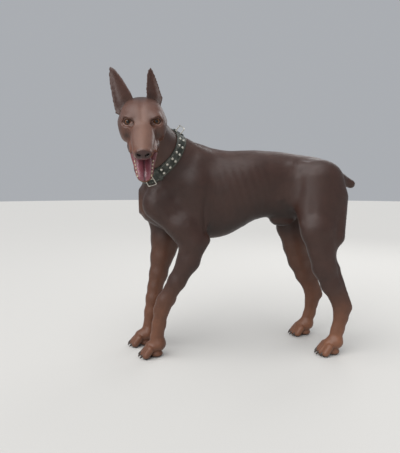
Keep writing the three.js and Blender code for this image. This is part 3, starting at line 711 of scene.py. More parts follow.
def settle(co, depth, steps=4):
    """Pulls places near the flesh's surface onto it, a coat's depth inside; the ears keep theirs."""
    start = co.copy()
    for _ in range(steps):
        d, grad = slope(co, flesh)
        pull = 1 - smooth(5.0, 9.0, np.abs(d))
        move = -(d + depth / MM)[:, None] * grad / np.maximum((grad ** 2).sum(1), 0.05)[:, None]
        co = co + move * pull[:, None] * MM
    far = np.linalg.norm(co - start, axis=1)
    cap = np.minimum(1, FARTHEST_SETTLE / np.maximum(far, 1e-9))
    return start + (co - start) * cap[:, None]


def relaxed(mesh, co, weight, steps):
    """Evens a surface out without shrinking it, by turns of smoothing and swelling."""
    ends = rows_of(mesh.edges, "vertices", 2, np.int32)
    ends = ends[(weight[ends] > 0).any(1)]
    here, there = np.concatenate([ends, ends[:, ::-1]]).T
    count = np.maximum(np.bincount(here, minlength=len(co)), 1)
    for share in (0.6, -0.62) * steps:
        near = np.stack([np.bincount(here, co[there, axis], len(co)) for axis in range(3)], 1)
        co = co + (near / count[:, None] - co) * (share * weight)[:, None]
    return co


def stroke(points, path, width, height):
    """Height of a ridge, or a groove if negative, along a path."""
    near = np.full(len(points), 1e9)
    for a, b in zip(path, path[1:]):
        a, b = np.array(a, float), np.array(b, float)
        t = np.clip((points - a) @ (b - a) / ((b - a) @ (b - a)), 0, 1)
        near = np.minimum(near, np.linalg.norm(points - a - t[:, None] * (b - a), axis=1))
    return height * np.exp(-(near / width) ** 2)


# Ridges and grooves of both sides of the body: path, width and height, or depth if negative
BODY_STROKES = [
    ([(-62, 64, 690), (-108, 84, 600), (-140, 92, 528)], 9, 4.2),
    ([(-30, 78, 660), (-58, 96, 590), (-88, 106, 530)], 16, -4.48),
    ([(-2, 70, 640), (8, 92, 560), (4, 104, 480), (14, 104, 420)], 12, -5.6),
    ([(-140, 92, 520), (-100, 116, 480), (-60, 122, 450)], 12, -3.64),
    ([(-150, 70, 600), (-176, 62, 540), (-186, 50, 490)], 12, -4.2),
    ([(470, 60, 560), (452, 102, 500), (440, 118, 430), (434, 116, 380)], 13, -2.24),
    ([(352, 62, 640), (356, 96, 560), (352, 116, 480)], 14, -3.36),
    ([(300, 70, 640), (322, 78, 628), (340, 70, 640)], 14, 5.6),
    ([(262, 72, 520), (290, 92, 480), (318, 106, 440)], 11, 4.2),
]
# Tendons, veins and joints of each leg, the left side's Y being negative, and the grooves between the toes
LEG_STROKES = [
    ([(-40, -118, 380), (-58, -112, 330), (-94, -98, 262)], 7, -2.0),
    ([(-78, -100, 300), (-112, -88, 240), (-140, -82, 196)], 3.2, 1.4),
    ([(-96, -70, 206), (-92, -70, 196), (-94, -68, 186)], 10, 5.0),
    ([(-120, -90, 180), (-140, -84, 120), (-152, -76, 80)], 5, 1.6),
    ([(-128, 60, 186), (-134, 60, 174)], 9, 4.0),
    ([(430, -118, 330), (448, -112, 270), (480, -104, 190)], 5, -3.0),
    ([(468, -98, 230), (490, -98, 180), (494, -98, 160)], 6, 3.0),
    ([(452, -116, 210), (462, -112, 150), (458, -108, 90)], 4.5, -1.4),
    ([(440, -122, 300), (420, -124, 340)], 3.0, 1.4),
    ([(406, 118, 300), (424, 114, 250), (452, 108, 186)], 5, -3.0),
]
LEG_STROKES += [
    ([(heel[0] - length * 0.3, heel[1] + place * width * 0.27, 46),
      (heel[0] - length * 0.8, heel[1] + place * width * 0.27, 30),
      (heel[0] - length - 4, heel[1] + place * width * 0.27, 6)], 2.6, -5.0)
    for heel, length, width in PAWS.values() for place in (-1, 0, 1)]
# Ridges and grooves of both sides of the head, and the furrow of the forehead
HEAD_STROKES = [
    ([(26, 24, 2), (64, 23, -8), (104, 20, -16)], 6, 1.2),
    ([(36, 33, -20), (70, 31, -28), (104, 28, -32)], 8, -1.8),
    ([(96, 28, -42), (112, 25, -40), (124, 19, -40)], 8, 2.2),
    ([(30, 40, -52), (36, 40, -58)], 7, 2.5),
    ([(26, 24, 8), (14, 26, 12), (6, 34, 15)], 5, 1.0),
    ([(8, 46, -24), (-20, 60, -16), (-52, 68, -12)], 8, 2.2),
    ([(-2, 44, -42), (-26, 62, -40), (-52, 66, -44)], 9, -2.0),
    ([(40, 36, -46), (48, 33, -54), (42, 36, -62)], 5, 2.0),
    ([(22, 40, -34), (38, 37, -44), (50, 33, -46)], 4, -2.4),
    ([(4, 52, -20), (26, 42, -16), (40, 34, -20)], 9, -2.2),
    ([(-20, 52, 12), (-50, 58, 14), (-80, 54, 16)], 12, -1.6),
    ([(-90, 0, 42), (-20, 0, 36), (14, 0, 18)], 8, -2.4),
]
RIB_SPACING, RIB_RISE = 27, 0.42


def carve(co, normals):
    """Adds muscles' edges, tendons, veins, ribs and the face's folds along the normals."""
    body, head = body_mm(co), head_mm(co)
    on_head = head_share(head, -140, -110, -170, 90)
    lift = np.zeros(len(co))
    for strokes, places, share in ((BODY_STROKES, folded(body), 1 - on_head), (LEG_STROKES, body, 1 - on_head),
                                   (HEAD_STROKES, folded(head), on_head)):
        for path, width, height in strokes:
            lift += stroke(places, path, width, height) * share
    # Ribs show faintly behind the shoulder
    ribs = np.sin((body[:, 0] + 0.35 * (body[:, 2] - 540)) * 2 * math.pi / RIB_SPACING)
    chest = smooth(30, 70, body[:, 0]) * (1 - smooth(190, 250, body[:, 0]))
    chest *= smooth(430, 470, body[:, 2]) * (1 - smooth(600, 650, body[:, 2]))
    return co + normals * ((lift + RIB_RISE * ribs * chest) * MM)[:, None]


def eye_frame(side):
    """Centre of an eyeball with its outward, across and up axes."""
    centre = middle("left_eye" if side > 0 else "right_eye")
    out = (HEAD_F * 0.86 + HEAD_L * side * 0.36 + HEAD_U * 0.3).normalized()
    across = (HEAD_L * side - out * (HEAD_L * side).dot(out)).normalized()
    across = Matrix.Rotation(math.radians(-9 * side), 3, out) @ across
    up = out.cross(across) * (-side)
    if up.dot(HEAD_U) < 0:
        up = -up
    return centre, out, across, up


def almond(a, b):
    """Signed distance, in millimetres, to the rim of the lids' opening."""
    wide, high, low = LID_OPENING
    curve = np.maximum(1 - (a / wide) ** 2, 0)
    above = b - high * curve ** 0.62
    below = -low * curve ** 0.62 - b
    beyond = np.abs(a) - wide
    inner = np.maximum(above, below)
    return np.where(beyond > 0, np.hypot(np.maximum(beyond, 0), b), inner)


def lids(co, side):
    """Draws the skin over the eyeball as lids and opens it in an almond."""
    centre, out, across, up = (np.array(v) for v in eye_frame(side))
    q = (co - centre) / MM
    a, b, c = q @ across, q @ up, q @ out
    flat = np.hypot(a, b)
    near = (flat < 24) & (c > -9)
    rim = almond(a, b)
    over = np.sqrt(np.maximum((EYE_RADIUS + 1.7) ** 2 - flat ** 2, 0))
    # The lids may sink under the brow near their edge, and fade into the face 10 mm out
    sink = 8.0 * (1 - smooth(0.0, 10.0, rim))
    raised = np.maximum(np.where(flat < EYE_RADIUS + 1.6, over, -9.0), c - sink)
    fold = 1.3 * spot((rim, 4.6, 1.5)) * (b > -2)
    pouch = 0.9 * spot((rim, 4.2, 1.5)) * (b <= -2)
    inside = 1 - smooth(-0.9, 0.1, rim)
    target = raised * (1 - inside) + (np.minimum(over, EYE_RADIUS) - 6.5) * inside - fold - pouch
    move = np.where(near, target - c, 0) * (1 - smooth(15.0, 22.0, flat))
    return co + move[:, None] * out * MM, rim, near, smooth(2, -2, b)


def nostrils(co):
    """Opens the nostrils with their side slits and the groove between them."""
    q = head_mm(co)
    lift = stroke(q, [(142, 0, -24), (140, 0, -36), (132, 0, -48)], 1.6, -1.8)
    for side in SIDES:
        lift += stroke(q, [(138, side * 7.5, -30.5), (136, side * 12, -28.5)], 3.3, -8.0)
        lift += stroke(q, [(136, side * 12, -29), (130, side * 17, -31), (125, side * 20, -34)], 2.0, -4.2)
        lift += stroke(q, [(132, 0, -14), (136, side * 12, -17), (128, side * 20, -24)], 3, 1.0)
    return co + np.array(HEAD_F) * (lift * MM)[:, None]


def markings_and_painted_light(co, normals, rims):
    """Colours of the coat and bare skin at each place, with painted highlights on the back and bridge and painted
    shade under the trunk, about the eyes and in the nostrils, and how bare it is.
    """
    colours = bpy.context.scene.doberman_colours
    body, head = body_mm(co), head_mm(co)
    x, y, z = body.T
    f, l, u = head.T
    jaw_f, _, jaw_u = jaw_mm(head).T
    out_f, out_l, out_u = TO_HEAD @ normals.T
    side = np.abs(l)
    base = np.tile(np.array(colours.body[:]), (len(co), 1))
    bare = np.zeros(len(co))

    def lay(colour, amount):
        nonlocal base
        colour = np.array(linear(colour) if isinstance(colour, str) else colour[:])
        base = base + (colour - base) * np.clip(amount, 0, 1)[:, None]

    def strip(colour, amount):
        nonlocal bare
        lay(colour, amount)
        bare = np.maximum(bare, np.clip(amount, 0, 1))

    on_head = head_share(head, -120, -80, -175, 95)
    # Painted highlight along the back, rust legs and their inner sides, painted shade on the downward faces of the
    # trunk
    inner = smooth(0.0, 0.7, -np.sign(y) * normals[:, 1])
    lay("#4c352d", 0.5 * smooth(640, 700, z) * (1 - on_head))
    lay(colours.rust, (x < 60) * (1 - smooth(110, 290, z)) * 0.95)
    lay(colours.rust, (x > 250) * (1 - smooth(90, 250, z)))
    lay(colours.rust, inner * (1 - smooth(330, 430, z)) * (z > 120) * 0.55)
    lay("#80553d", 0.5 * (1 - smooth(40, 130, z)) * (x > 250))
    # Painted shade: the trunk's faces turned to the floor are darkened
    lay("#251a16", 0.75 * smooth(0.2, 0.8, -normals[:, 2]) * smooth(390, 430, z) * (x > -120) * (x < 420))
    # Rust spots of the forechest and under the tail
    lay(colours.rust, spot((np.abs(y), 34, 24), (z, 500, 34)) * (x < -150) * (1 - on_head) * 0.5)
    lay(colours.rust, spot((x, 500, 40), (z, 540, 22), (y, 0, 26)) * 0.6)
    # Head, painted highlight on the top of the bridge, muzzle, cheeks, painted shade in the hollows under the eyes and
    # at the brows' inner ends, temples and chin
    lay(colours.head, on_head * smooth(-110, -40, f))
    # Painted highlight on the bridge where it faces up
    lay("#6e4e40", on_head * spot((l, 0, 20)) * smooth(-60, 30, f) * (out_u > 0))
    lay("#683d2a", smooth(30, 62, f) * on_head * smooth(-12, -28, u) * 0.9)
    lay("#5c3626", spot((f, -6, 40), (u, -46, 22)) * on_head * 0.7)
    # Painted shade in the hollows under the eyes
    lay("#3a2a25", spot((f, 14, 18), (side, 42, 11), (u, -28, 11)) * 0.75 * on_head)
    # Painted shade at the brows' inner ends, in the hollows beside the bridge
    lay("#30211c", spot((f, 8, 12), (side, 27, 9), (u, 12, 7)) * 0.5 * on_head)
    lay("#4b342d", on_head * smooth(52, 64, side) * 0.8)
    lay("#74462f", smooth(-60, 0, jaw_f) * (jaw_u < -58) * (jaw_u > -100) * on_head * 0.5)
    # Nose leather, and painted shade in the nostrils' pits
    nose = np.sqrt(((f - 130) / 15) ** 2 + (l / 21.5) ** 2 + ((u + 29) / 15.5) ** 2)
    strip("#3d2926", (1 - smooth(0.9, 1.12, nose)) * (f > 115))
    # Painted shade: the nostrils' pits are near black
    strip("#0c0706", np.minimum(1, spot((side, 10, 4.6), (u, -29.5, 3.2)) * (f > 118) * 1.5))
    # Linings of the mouth, the lips' edges and their corners
    inward = -np.sign(l) * out_l
    rising = out_u * math.cos(JAW_OPEN) + out_f * math.sin(JAW_OPEN)
    muzzle_half = np.interp(f, (-18, 6, 28, 60, 94, 118, 132), (60, 46, 40, 38, 33, 26, 18))
    jaw_half = np.interp(jaw_f, (-70, -20, 24, 60, 90, 104, 112), (42, 45, 38, 30, 25, 19, 10))
    palate = smooth(0.1, 0.5, -out_u) * (side < muzzle_half - 4) * (u < -40) * (jaw_u > -48) * (f > 12)
    floor = smooth(0.1, 0.5, rising) * (side < jaw_half - 1) * (u < -50) * (jaw_u > -60) * (jaw_f > 8)
    cheek = smooth(0.2, 0.55, inward) * (f > 0) * (side < 40) * (u < -46) * (jaw_u > -64)
    strip("#5a3032", np.maximum(palate, cheek) * on_head)
    strip("#7c4549", np.maximum(floor, cheek * smooth(20, 50, f)) * on_head)
    lower_lip = spot((jaw_u, -54, 3.0)) * (side > jaw_half - 2) * (jaw_f > 30) * (u < -52)
    upper_lip = spot((u, -51, 2.4)) * (side > muzzle_half - 5) * (f > 30) * (f < 128) * (jaw_u > -46)
    strip("#2a1c1a", lower_lip * 0.9 * on_head)
    strip("#33211f", upper_lip * 0.9 * on_head)
    strip("#32201d", spot((f, 44, 8), (u, -55, 12)) * (side > 26) * 0.6 * on_head)
    # Dark lid edges, paler skin below them and the pink within
    for rim, near, lower in rims:
        strip("#1f1411", spot((rim, 0.3, 1.0)) * near)
        lay("#b08c80", spot((rim, 2.6, 1.3)) * near * (0.12 + 0.62 * lower))
        strip("#4e2c27", (rim < -0.5) * near)
    strip("#2a211f", (z < 9) * smooth(0.3, 0.8, -normals[:, 2]))
    # Ears, darker outside and warmer in their cups
    ear, cup = ear_masks(co, normals)
    lay("#4c352d", ear * (1 - cup))
    lay("#3e241b", cup)
    return base, bare


def ear_masks(co, normals):
    """How much each place is on an ear, and how much on its inner face."""
    head = head_mm(co)
    ear = smooth(3.0, 8.0, flesh(co)) * (head[:, 2] > 10)
    inner = np.zeros(len(co))
    for side, facing in ((-1, Vector((0.25, -0.96, -0.1))), (1, Vector((-0.35, -0.93, 0.05)))):
        inner += (np.sign(head[:, 1]) == side) * smooth(-0.1, 0.5, normals @ np.array(facing.normalized()))
    return ear, ear * inner


def coat_lie(co, normals):
    """Unit direction in which the hair lies at each place."""
    body, head = body_mm(co), head_mm(co)
    on_head = head_share(head, -150, -70, -180, 100)
    on_neck = (1 - smooth(-90, -50, body[:, 0])) * (1 - on_head) * smooth(560, 640, body[:, 2])
    # Back along the trunk, down the legs, back over the head, up the ears and down the neck
    lie = np.tile([0.9, 0.0, -0.44], (len(co), 1))
    for share, way in ((1 - smooth(380, 470, body[:, 2]), (0.1, 0, -1.0)), (on_head, -HEAD_F),
                       (smooth(3.0, 8.0, flesh(co)) * on_head, (0.0, 0.1, 1.0)), (on_neck, -COLLAR_AXIS)):
        lie = lie * (1 - share[:, None]) + np.array(way) * share[:, None]
    lie -= normals * (lie * normals).sum(1)[:, None]
    return lie / np.maximum(np.linalg.norm(lie, axis=1), 1e-6)[:, None]


STRAND_WIDTH, STRAND_LENGTH = 1.3, 9.0


def strand_coordinates(co):
    """Places in which one unit is a strand's width across its lie and its length along it."""
    body = body_mm(co)
    out = body
    for share, axis in ((np.ones(len(co)), (0.9, 0.0, -0.44)),
                        (1 - smooth(340, 470, body[:, 2]), (0.08, 0, -1.0)),
                        (smooth(-130, -90, head_mm(co)[:, 0]) * (body[:, 2] > 560), -HEAD_F)):
        axis = np.array(axis) / np.linalg.norm(axis)
        along = (body @ axis)[:, None] * axis
        out = np.where(share[:, None] < 0.5, out, (body - along) / STRAND_WIDTH + along / STRAND_LENGTH)
    return out


class DOBERMAN_OT_skin(bpy.types.Operator):
    """Models one skin over all the flesh, with lids, lips, nostrils, folds and markings"""
    bl_idname = "doberman.skin"
    bl_label = "Skin"

    def execute(self, context):
        spots = [np.array(p) for p in (middle("left_eye"), middle("right_eye"), from_head((134, 0, -29)))]
        bm = skin_base()
        # Finer paws, eyes and nose
        refine(bm, lambda c: c[:, 2] < 78 * MM)
        for reach in (24 * MM, 16 * MM):
            refine(bm, lambda c: np.min([np.linalg.norm(c - p, axis=1) for p in spots], 0) < reach)
        bmesh.ops.triangulate(bm, faces=[f for f in bm.faces if len(f.verts) > 4])
        mesh = mesh_from(bm, "skin")
        co = settle(coords(mesh), context.scene.doberman_sizes.coat_depth)
        height = co[:, 2] / MM
        ear = smooth(2.0, 6.0, flesh(co)) * (head_mm(co)[:, 2] > 5)
        leg = smooth(75, 95, height) * (1 - smooth(340, 420, height))
        for weight, steps in ((0.3 + 0.7 * (height > 70), 2), (leg, 8), (ear, 60)):
            co = relaxed(mesh, co, weight, steps)
        set_coords(mesh, co)
        co = carve(coords(mesh), vertex_normals(mesh))
        rims = []
        for side in SIDES:
            co, *rim = lids(co, side)
            rims.append(rim)
            ring = smooth(0.8, 2.5, rim[0]) * (1 - smooth(11.0, 16.0, rim[0])) * rim[1]
            co = relaxed(mesh, co, ring, 5)
        co = nostrils(np.clip(co, CAD_LOW, CAD_HIGH).astype(np.float32).astype(float))
        co[:, 2] = np.maximum(co[:, 2], SOLE)
        set_coords(mesh, co)
        normals = vertex_normals(mesh)
        dress(mesh, *markings_and_painted_light(co, normals, rims), strand_coordinates(co))
        new_object("skin", mesh, short_coat_material(), "coat", *FLESH)
        return {"FINISHED"}


# Coat

UV_ISLAND_GAP = 0.001
# No tufts this near to the collar's plane
BARE_UNDER_COLLAR = 18 * MM
# Corners of each tuft's patch on the skin's unwrap
TUFT_PATCH = np.array([(0, 0), (0.001, 0), (0.0005, 0.0008), (0, 0.0018), (0.001, 0.0018), (0.0005, 0.0022),
                       (0.0005, 0.003)])
# A root triangle, a smaller one half way and a tip
TUFT_FACES = np.array([(0, 3, 4), (0, 4, 1), (1, 4, 5), (1, 5, 2), (2, 5, 3), (2, 3, 0),
                       (3, 6, 4), (4, 6, 5), (5, 6, 3), (0, 1, 2)])
TUFT_CORNERS = len(TUFT_PATCH)


def skin_samples(mesh, count, rng, allowed):
    """Random places on the skin's faces with normal, colour and unwrap."""
    mesh.calc_loop_triangles()
    tris = rows_of(mesh.loop_triangles, "vertices", 3, np.int32)
    loops = rows_of(mesh.loop_triangles, "loops", 3, np.int32)
    a, b, c = coords(mesh)[tris].transpose(1, 0, 2)
    area = np.linalg.norm(np.cross(b - a, c - a), axis=1) * allowed[tris].mean(1)
    pick = rng.choice(len(tris), count, p=area / area.sum())
    r1, r2 = np.sqrt(rng.random(count)), rng.random(count)
    share = np.stack([1 - r1, r1 * (1 - r2), r1 * r2], 1)[:, :, None]
    colour = rows_of(mesh.attributes["markings_and_painted_light"].data, "color", 4)[:, :3]
    uv = rows_of(mesh.uv_layers["OFBake"].data, "uv", 2)
    return [(data[index[pick]] * share).sum(1) for data, index in (
        (coords(mesh), tris), (vertex_normals(mesh), tris), (colour, tris), (uv, loops))]


def tuft_mesh(name, root, normal, colour, uv, length, width, lift, rng):
    """Tapered, bent, three-sided tufts as one mesh."""
    count = len(root)
    lie = coat_lie(root, normal)
    lie = lie + np.cross(normal, lie) * rng.normal(0, 0.16, count)[:, None]
    lie /= np.linalg.norm(lie, axis=1)[:, None]
    across = np.cross(normal, lie)
    rise = lift * rng.uniform(0.5, 1.5, count)[:, None]
    length = (length * rng.uniform(0.75, 1.25, count))[:, None]
    tip = root + (lie + normal * rise) * length
    ring = []
    for base, size in ((root - normal * width * 0.8, 1.0), (root + (lie * 0.5 + normal * rise * 0.62) * length, 0.62)):
        ring += [base + across * width * size, base - across * width * size, base + normal * width * 0.3 * size]
    verts = np.clip(np.stack(ring + [tip], 1).reshape(-1, 3), CAD_LOW, CAD_HIGH)
    index = (TUFT_FACES[None] + (np.arange(count) * TUFT_CORNERS)[:, None, None]).reshape(-1, 3)
    mesh = bpy.data.meshes.new(name)
    mesh.vertices.add(len(verts))
    mesh.loops.add(index.size)
    mesh.polygons.add(len(index))
    store(mesh.vertices, "co", verts)
    store(mesh.loops, "vertex_index", index, np.int32)
    store(mesh.polygons, "loop_start", np.arange(0, index.size, 3), np.int32)
    mesh.update()
    mesh.shade_flat()
    tone = rng.uniform(0.9, 1.14, count)[:, None]
    dress(mesh, np.repeat(colour * tone, TUFT_CORNERS, axis=0), np.zeros(len(verts)),
          np.repeat(body_mm(root) / STRAND_WIDTH, TUFT_CORNERS, axis=0))
    patch = (uv[:, None, :] + TUFT_PATCH[None]).reshape(-1, 2)
    store(mesh.uv_layers.new(name="OFBake").data, "uv", patch[index.ravel()])
    return mesh


class DOBERMAN_OT_coat(bpy.types.Operator):
    """Lays short tufts over the haired skin, on every side"""
    bl_idname = "doberman.coat"
    bl_label = "Coat"

    def execute(self, context):
        sizes = context.scene.doberman_sizes
        skin = bpy.data.objects["skin"]
        mesh = skin.data
        context.view_layer.objects.active = skin
        skin.select_set(True)
        bpy.ops.object.mode_set(mode="EDIT")
        bpy.ops.mesh.select_all(action="SELECT")
        bpy.ops.uv.smart_project(angle_limit=math.radians(70), island_margin=UV_ISLAND_GAP)
        bpy.ops.object.mode_set(mode="OBJECT")
        mesh.uv_layers.active.name = "OFBake"
        co = coords(mesh)
        body, head = body_mm(co), head_mm(co)
        covered = 1 - smooth(0.1, 0.4, rows_of(mesh.attributes["bare"].data, "color", 4)[:, 0])
        from_collar = co - np.array(COLLAR_CENTRE)
        under_collar = np.abs(from_collar @ np.array(COLLAR_AXIS)) < BARE_UNDER_COLLAR
        covered = covered * (1 - under_collar * (np.linalg.norm(from_collar, axis=1) < 0.1))
        on_head = (head[:, 0] > -120) & (head[:, 2] > -175) & (np.abs(head[:, 1]) < 100) & (body[:, 2] > 540)
        low, left, fore = body[:, 2] < 400, body[:, 1] < 0, body[:, 0] < 200
        front = body[:, 0] < -40
        trunk = ~on_head & ~low
        rng = np.random.default_rng(7)
        # Zone, hair length, and the tufts' half width in millimetres and rise
        long, legs, short = sizes.body_hair, sizes.body_hair * 0.75, sizes.face_hair
        for name, zone, length, width, lift in (
                ("coat_trunk_left", trunk & left & ~front, long, 0.42, 0.075),
                ("coat_trunk_right", trunk & ~left & ~front, long, 0.42, 0.075),
                ("coat_neck_and_chest", trunk & front, long, 0.42, 0.075),
                ("coat_forelegs", low & fore, legs, 0.36, 0.08),
                ("coat_hind_legs", low & ~fore, legs, 0.36, 0.08),
                ("coat_head", on_head, short, 0.24, 0.07)):
            root, *rest = skin_samples(mesh, sizes.tufts, rng, covered * zone)
            # Shorter on the feet and on the ears
            shorter = 0.5 + 0.5 * smooth(20, 160, body_mm(root)[:, 2])
            shorter = shorter * (1 - 0.4 * smooth(3.0, 8.0, flesh(root)))
            piece = tuft_mesh(name, root, *rest, length * shorter, width * MM, lift, rng)
            new_object(name, piece, mesh.materials[0], "coat")
        return {"FINISHED"}


# Eyes

class DOBERMAN_OT_eyes(bpy.types.Operator):
    """Models both eyeballs with iris, pupil and a bulging cornea"""
    bl_idname = "doberman.eyes"
    bl_label = "Eyes"

    def execute(self, context):
        wet_eye = eye_material()
        for side, name in ((-1, "right_eye"), (1, "left_eye")):
            look = (LOOK + HEAD_L * side * 0.1).normalized()
            turn = look.to_track_quat("Z", "Y").to_matrix().to_4x4()
            bm = bmesh.new()
            bmesh.ops.create_uvsphere(bm, u_segments=40, v_segments=40, radius=BALL_RADIUS)
            angles = [v.co.normalized().angle(Vector((0, 0, 1))) / (math.pi / 2) for v in bm.verts]
            for v, angle in zip(bm.verts, angles):
                v.co *= 1 + CORNEA_RISE * math.exp(-(angle / 0.42) ** 2)
            bmesh.ops.transform(bm, matrix=Matrix.Translation(middle(name)) @ turn, verts=bm.verts)
            mesh = mesh_from(bm, name + "_ball")
            paint(mesh, "iris", angles)
            new_object(name + "_ball", mesh, wet_eye, "eye", name)
        return {"FINISHED"}


# Mouth

# Stations of the tongue in the closed jaw: place, height, half width and half thickness
TONGUE = np.array([(-4, -43, 12, 5), (20, -42, 17, 6), (46, -41, 20, 6.5), (72, -42, 20.5, 6), (94, -44, 18.5, 5),
                   (108, -48, 16, 4), (117, -54, 12, 3)])
# Canines, then four cheek teeth a side: place, side, radius and height
TEETH = [(99, side * 18.5, 3.0, 7) for side in SIDES]
TEETH += [(84 - 12 * i, side * (20 + i * 1.6), 3.0, 2.6) for side in SIDES for i in range(4)]


def tongue_place(u, v):
    """A place on the tongue: u runs round its section and v from root to tip."""
    f, mid, wide, thick = (np.interp(v * (len(TONGUE) - 1), range(len(TONGUE)), TONGUE[:, i]) for i in range(4))
    tip = math.sqrt(max(1 - max(v - 0.9, 0) ** 2 * 100, 0.0))
    side, rise = math.cos(u * 2 * math.pi), math.sin(u * 2 * math.pi)
    groove = 2.4 * math.exp(-(side / 0.16) ** 2) if rise > 0 else 0
    return jaw_point((f, side * wide * tip, mid + rise * thick * tip - groove + 2.6 * side * side))


class DOBERMAN_OT_mouth(bpy.types.Operator):
    """Models the tongue with its middle groove, and the lower teeth beside it"""
    bl_idname = "doberman.mouth"
    bl_label = "Mouth"

    def execute(self, context):
        bm = sheet(40, 40, tongue_place)
        bmesh.ops.holes_fill(bm, edges=[e for e in bm.edges if e.is_boundary], sides=0)
        bmesh.ops.recalc_face_normals(bm, faces=bm.faces)
        mesh = mesh_from(bm, "tongue_flesh")
        f, l, _ = jaw_mm(head_mm(coords(mesh))).T
        pink, dark, pale = (np.array(linear(c)) for c in ("#7c444d", "#311b20", "#98656e"))
        colour = pink + (pale - pink) * smooth(0.5, 1.0, np.abs(l) / 20)[:, None]
        # Painted shade darkens the tongue towards its root and along its middle groove
        shade = np.clip(1 - smooth(20, 80, f) + 0.75 * spot((l, 0, 2.6)), 0, 0.92)
        paint(mesh, "markings_and_painted_light", colour + (dark - colour) * shade[:, None])
        new_object("tongue_flesh", mesh, tongue_material(), "tongue", "tongue")
        bm = bmesh.new()
        for f, l, radius, tall in TEETH:
            low, high = jaw_point((f, l, -55)), jaw_point((f - tall * 0.16, l * 1.06, -52 + tall))
            made = bmesh.ops.create_cone(bm, cap_ends=True, segments=10, radius1=radius * MM,
                                         radius2=radius * 0.3 * MM, depth=(high - low).length)
            turn = (high - low).to_track_quat("Z", "Y").to_matrix().to_4x4()
            bmesh.ops.transform(bm, matrix=Matrix.Translation((low + high) / 2) @ turn, verts=made["verts"])
        edges = [e for e in bm.edges if e.calc_face_angle(0) > 0.6]
        bmesh.ops.bevel(bm, geom=edges, offset=0.5 * MM, segments=2, profile=0.5, affect="EDGES", material=-1)
        # Tooth enamel: ivory, glossy, a little yellow in patches
        enamel = grained("tooth_enamel", "#c8b48c", "#efe6d2", 260.0, Roughness=0.18, Coat_Weight=0.4)
        new_object("lower_teeth", bm, enamel, "eye")
        return {"FINISHED"}


CLAW_STEPS = 7
CLAW_RADIUS = 4.6
CLAW_REACH = 15


class DOBERMAN_OT_claws(bpy.types.Operator):
    """Models four curved claws on each paw"""
    bl_idname = "doberman.claws"
    bl_label = "Claws"

    def execute(self, context):
        # Claw horn: dark brown keratin, satin, with fine grooves
        horn = grained("claw_keratin", "#1c1512", "#4a3a30", 1400.0, 0.0004, Roughness=0.32)
        for paw_name, (heel, length, width) in PAWS.items():
            bm = bmesh.new()
            for place in TOE_PLACES:
                reach = length - TOE_STEP * abs(place)
                root = Vector((heel[0] - reach - 5, heel[1] + place * width * TOE_SPLAY, 16))
                rows = [bmesh.ops.create_circle(bm, segments=10, radius=1)["verts"]]
                for _ in range(CLAW_STEPS):
                    edges = list({e for v in rows[-1] for e in v.link_edges if e.other_vert(v) in rows[-1]})
                    made = bmesh.ops.extrude_edge_only(bm, edges=edges)["geom"]
                    rows.append([g for g in made if isinstance(g, bmesh.types.BMVert)])
                for k, row in enumerate(rows):
                    t = k / CLAW_STEPS
                    size = CLAW_RADIUS * math.sqrt(1 - t * t * 0.94)
                    centre = root + Vector((-CLAW_REACH * t, place * 0.8 * t, -2.5 * t - 8.5 * t * t))
                    tilt = Matrix.Rotation(math.radians(-82 - 36 * t), 3, "Y")
                    for i, v in enumerate(row):
                        angle = 2 * math.pi * i / len(row)
                        local = Vector((math.cos(angle) * size, math.sin(angle) * size * 0.72, 0))
                        v.co = from_withers(centre + tilt @ local)
                bmesh.ops.contextual_create(bm, geom=rows[-1])
            bmesh.ops.recalc_face_normals(bm, faces=bm.faces)
            for v in bm.verts:
                v.co.z = max(v.co.z, 0.3 * MM)
            new_object(paw_name.replace("paw", "claws"), bm, horn, "claw", paw_name)
        return {"FINISHED"}


# Collar

TO_NAPE = Vector((0.66, 0, 0.75))
NAPE = (TO_NAPE - COLLAR_AXIS * TO_NAPE.dot(COLLAR_AXIS)).normalized()
LEFTWARD = NAPE.cross(COLLAR_AXIS).normalized()
BAND_TURNS, BAND_ROWS = 96, 5
# The band lies this far off the skin
SLACK = 0.6 * MM
# Rays to the skin start this far out; where none hits, the neck is taken as this wide
RAY_START, NECK_RADIUS = 0.135, 0.075
STITCHES = 110
# The studs' turns from the nape in degrees
STUDS = [28, 46, 64, 82, 100, 118]
STUD_RADIUS = 4.2 * MM
# Width, height and half thickness of the wire of buckle and ring
BUCKLE = (30 * MM, 44 * MM, 2.1 * MM)
RING = (30 * MM, 22 * MM, 1.7 * MM)
# The band's section: place across and lift in thicknesses, with a sewn groove along each edge
BAND_PROFILE = [(-1, 0), (-1, 0.55), (-0.97, 0.85), (-0.9, 1), (-0.8, 1.02), (-0.76, 0.9), (-0.72, 1.02),
                (-0.3, 1.12), (0.3, 1.12), (0.72, 1.02), (0.76, 0.9), (0.8, 1.02), (0.9, 1), (0.97, 0.85),
                (1, 0.55), (1, 0), (0, 0)]


def outward(turn):
    """The direction away from the collar's axis, at a turn in radians from the nape."""
    return NAPE * math.cos(turn) + LEFTWARD * math.sin(turn)


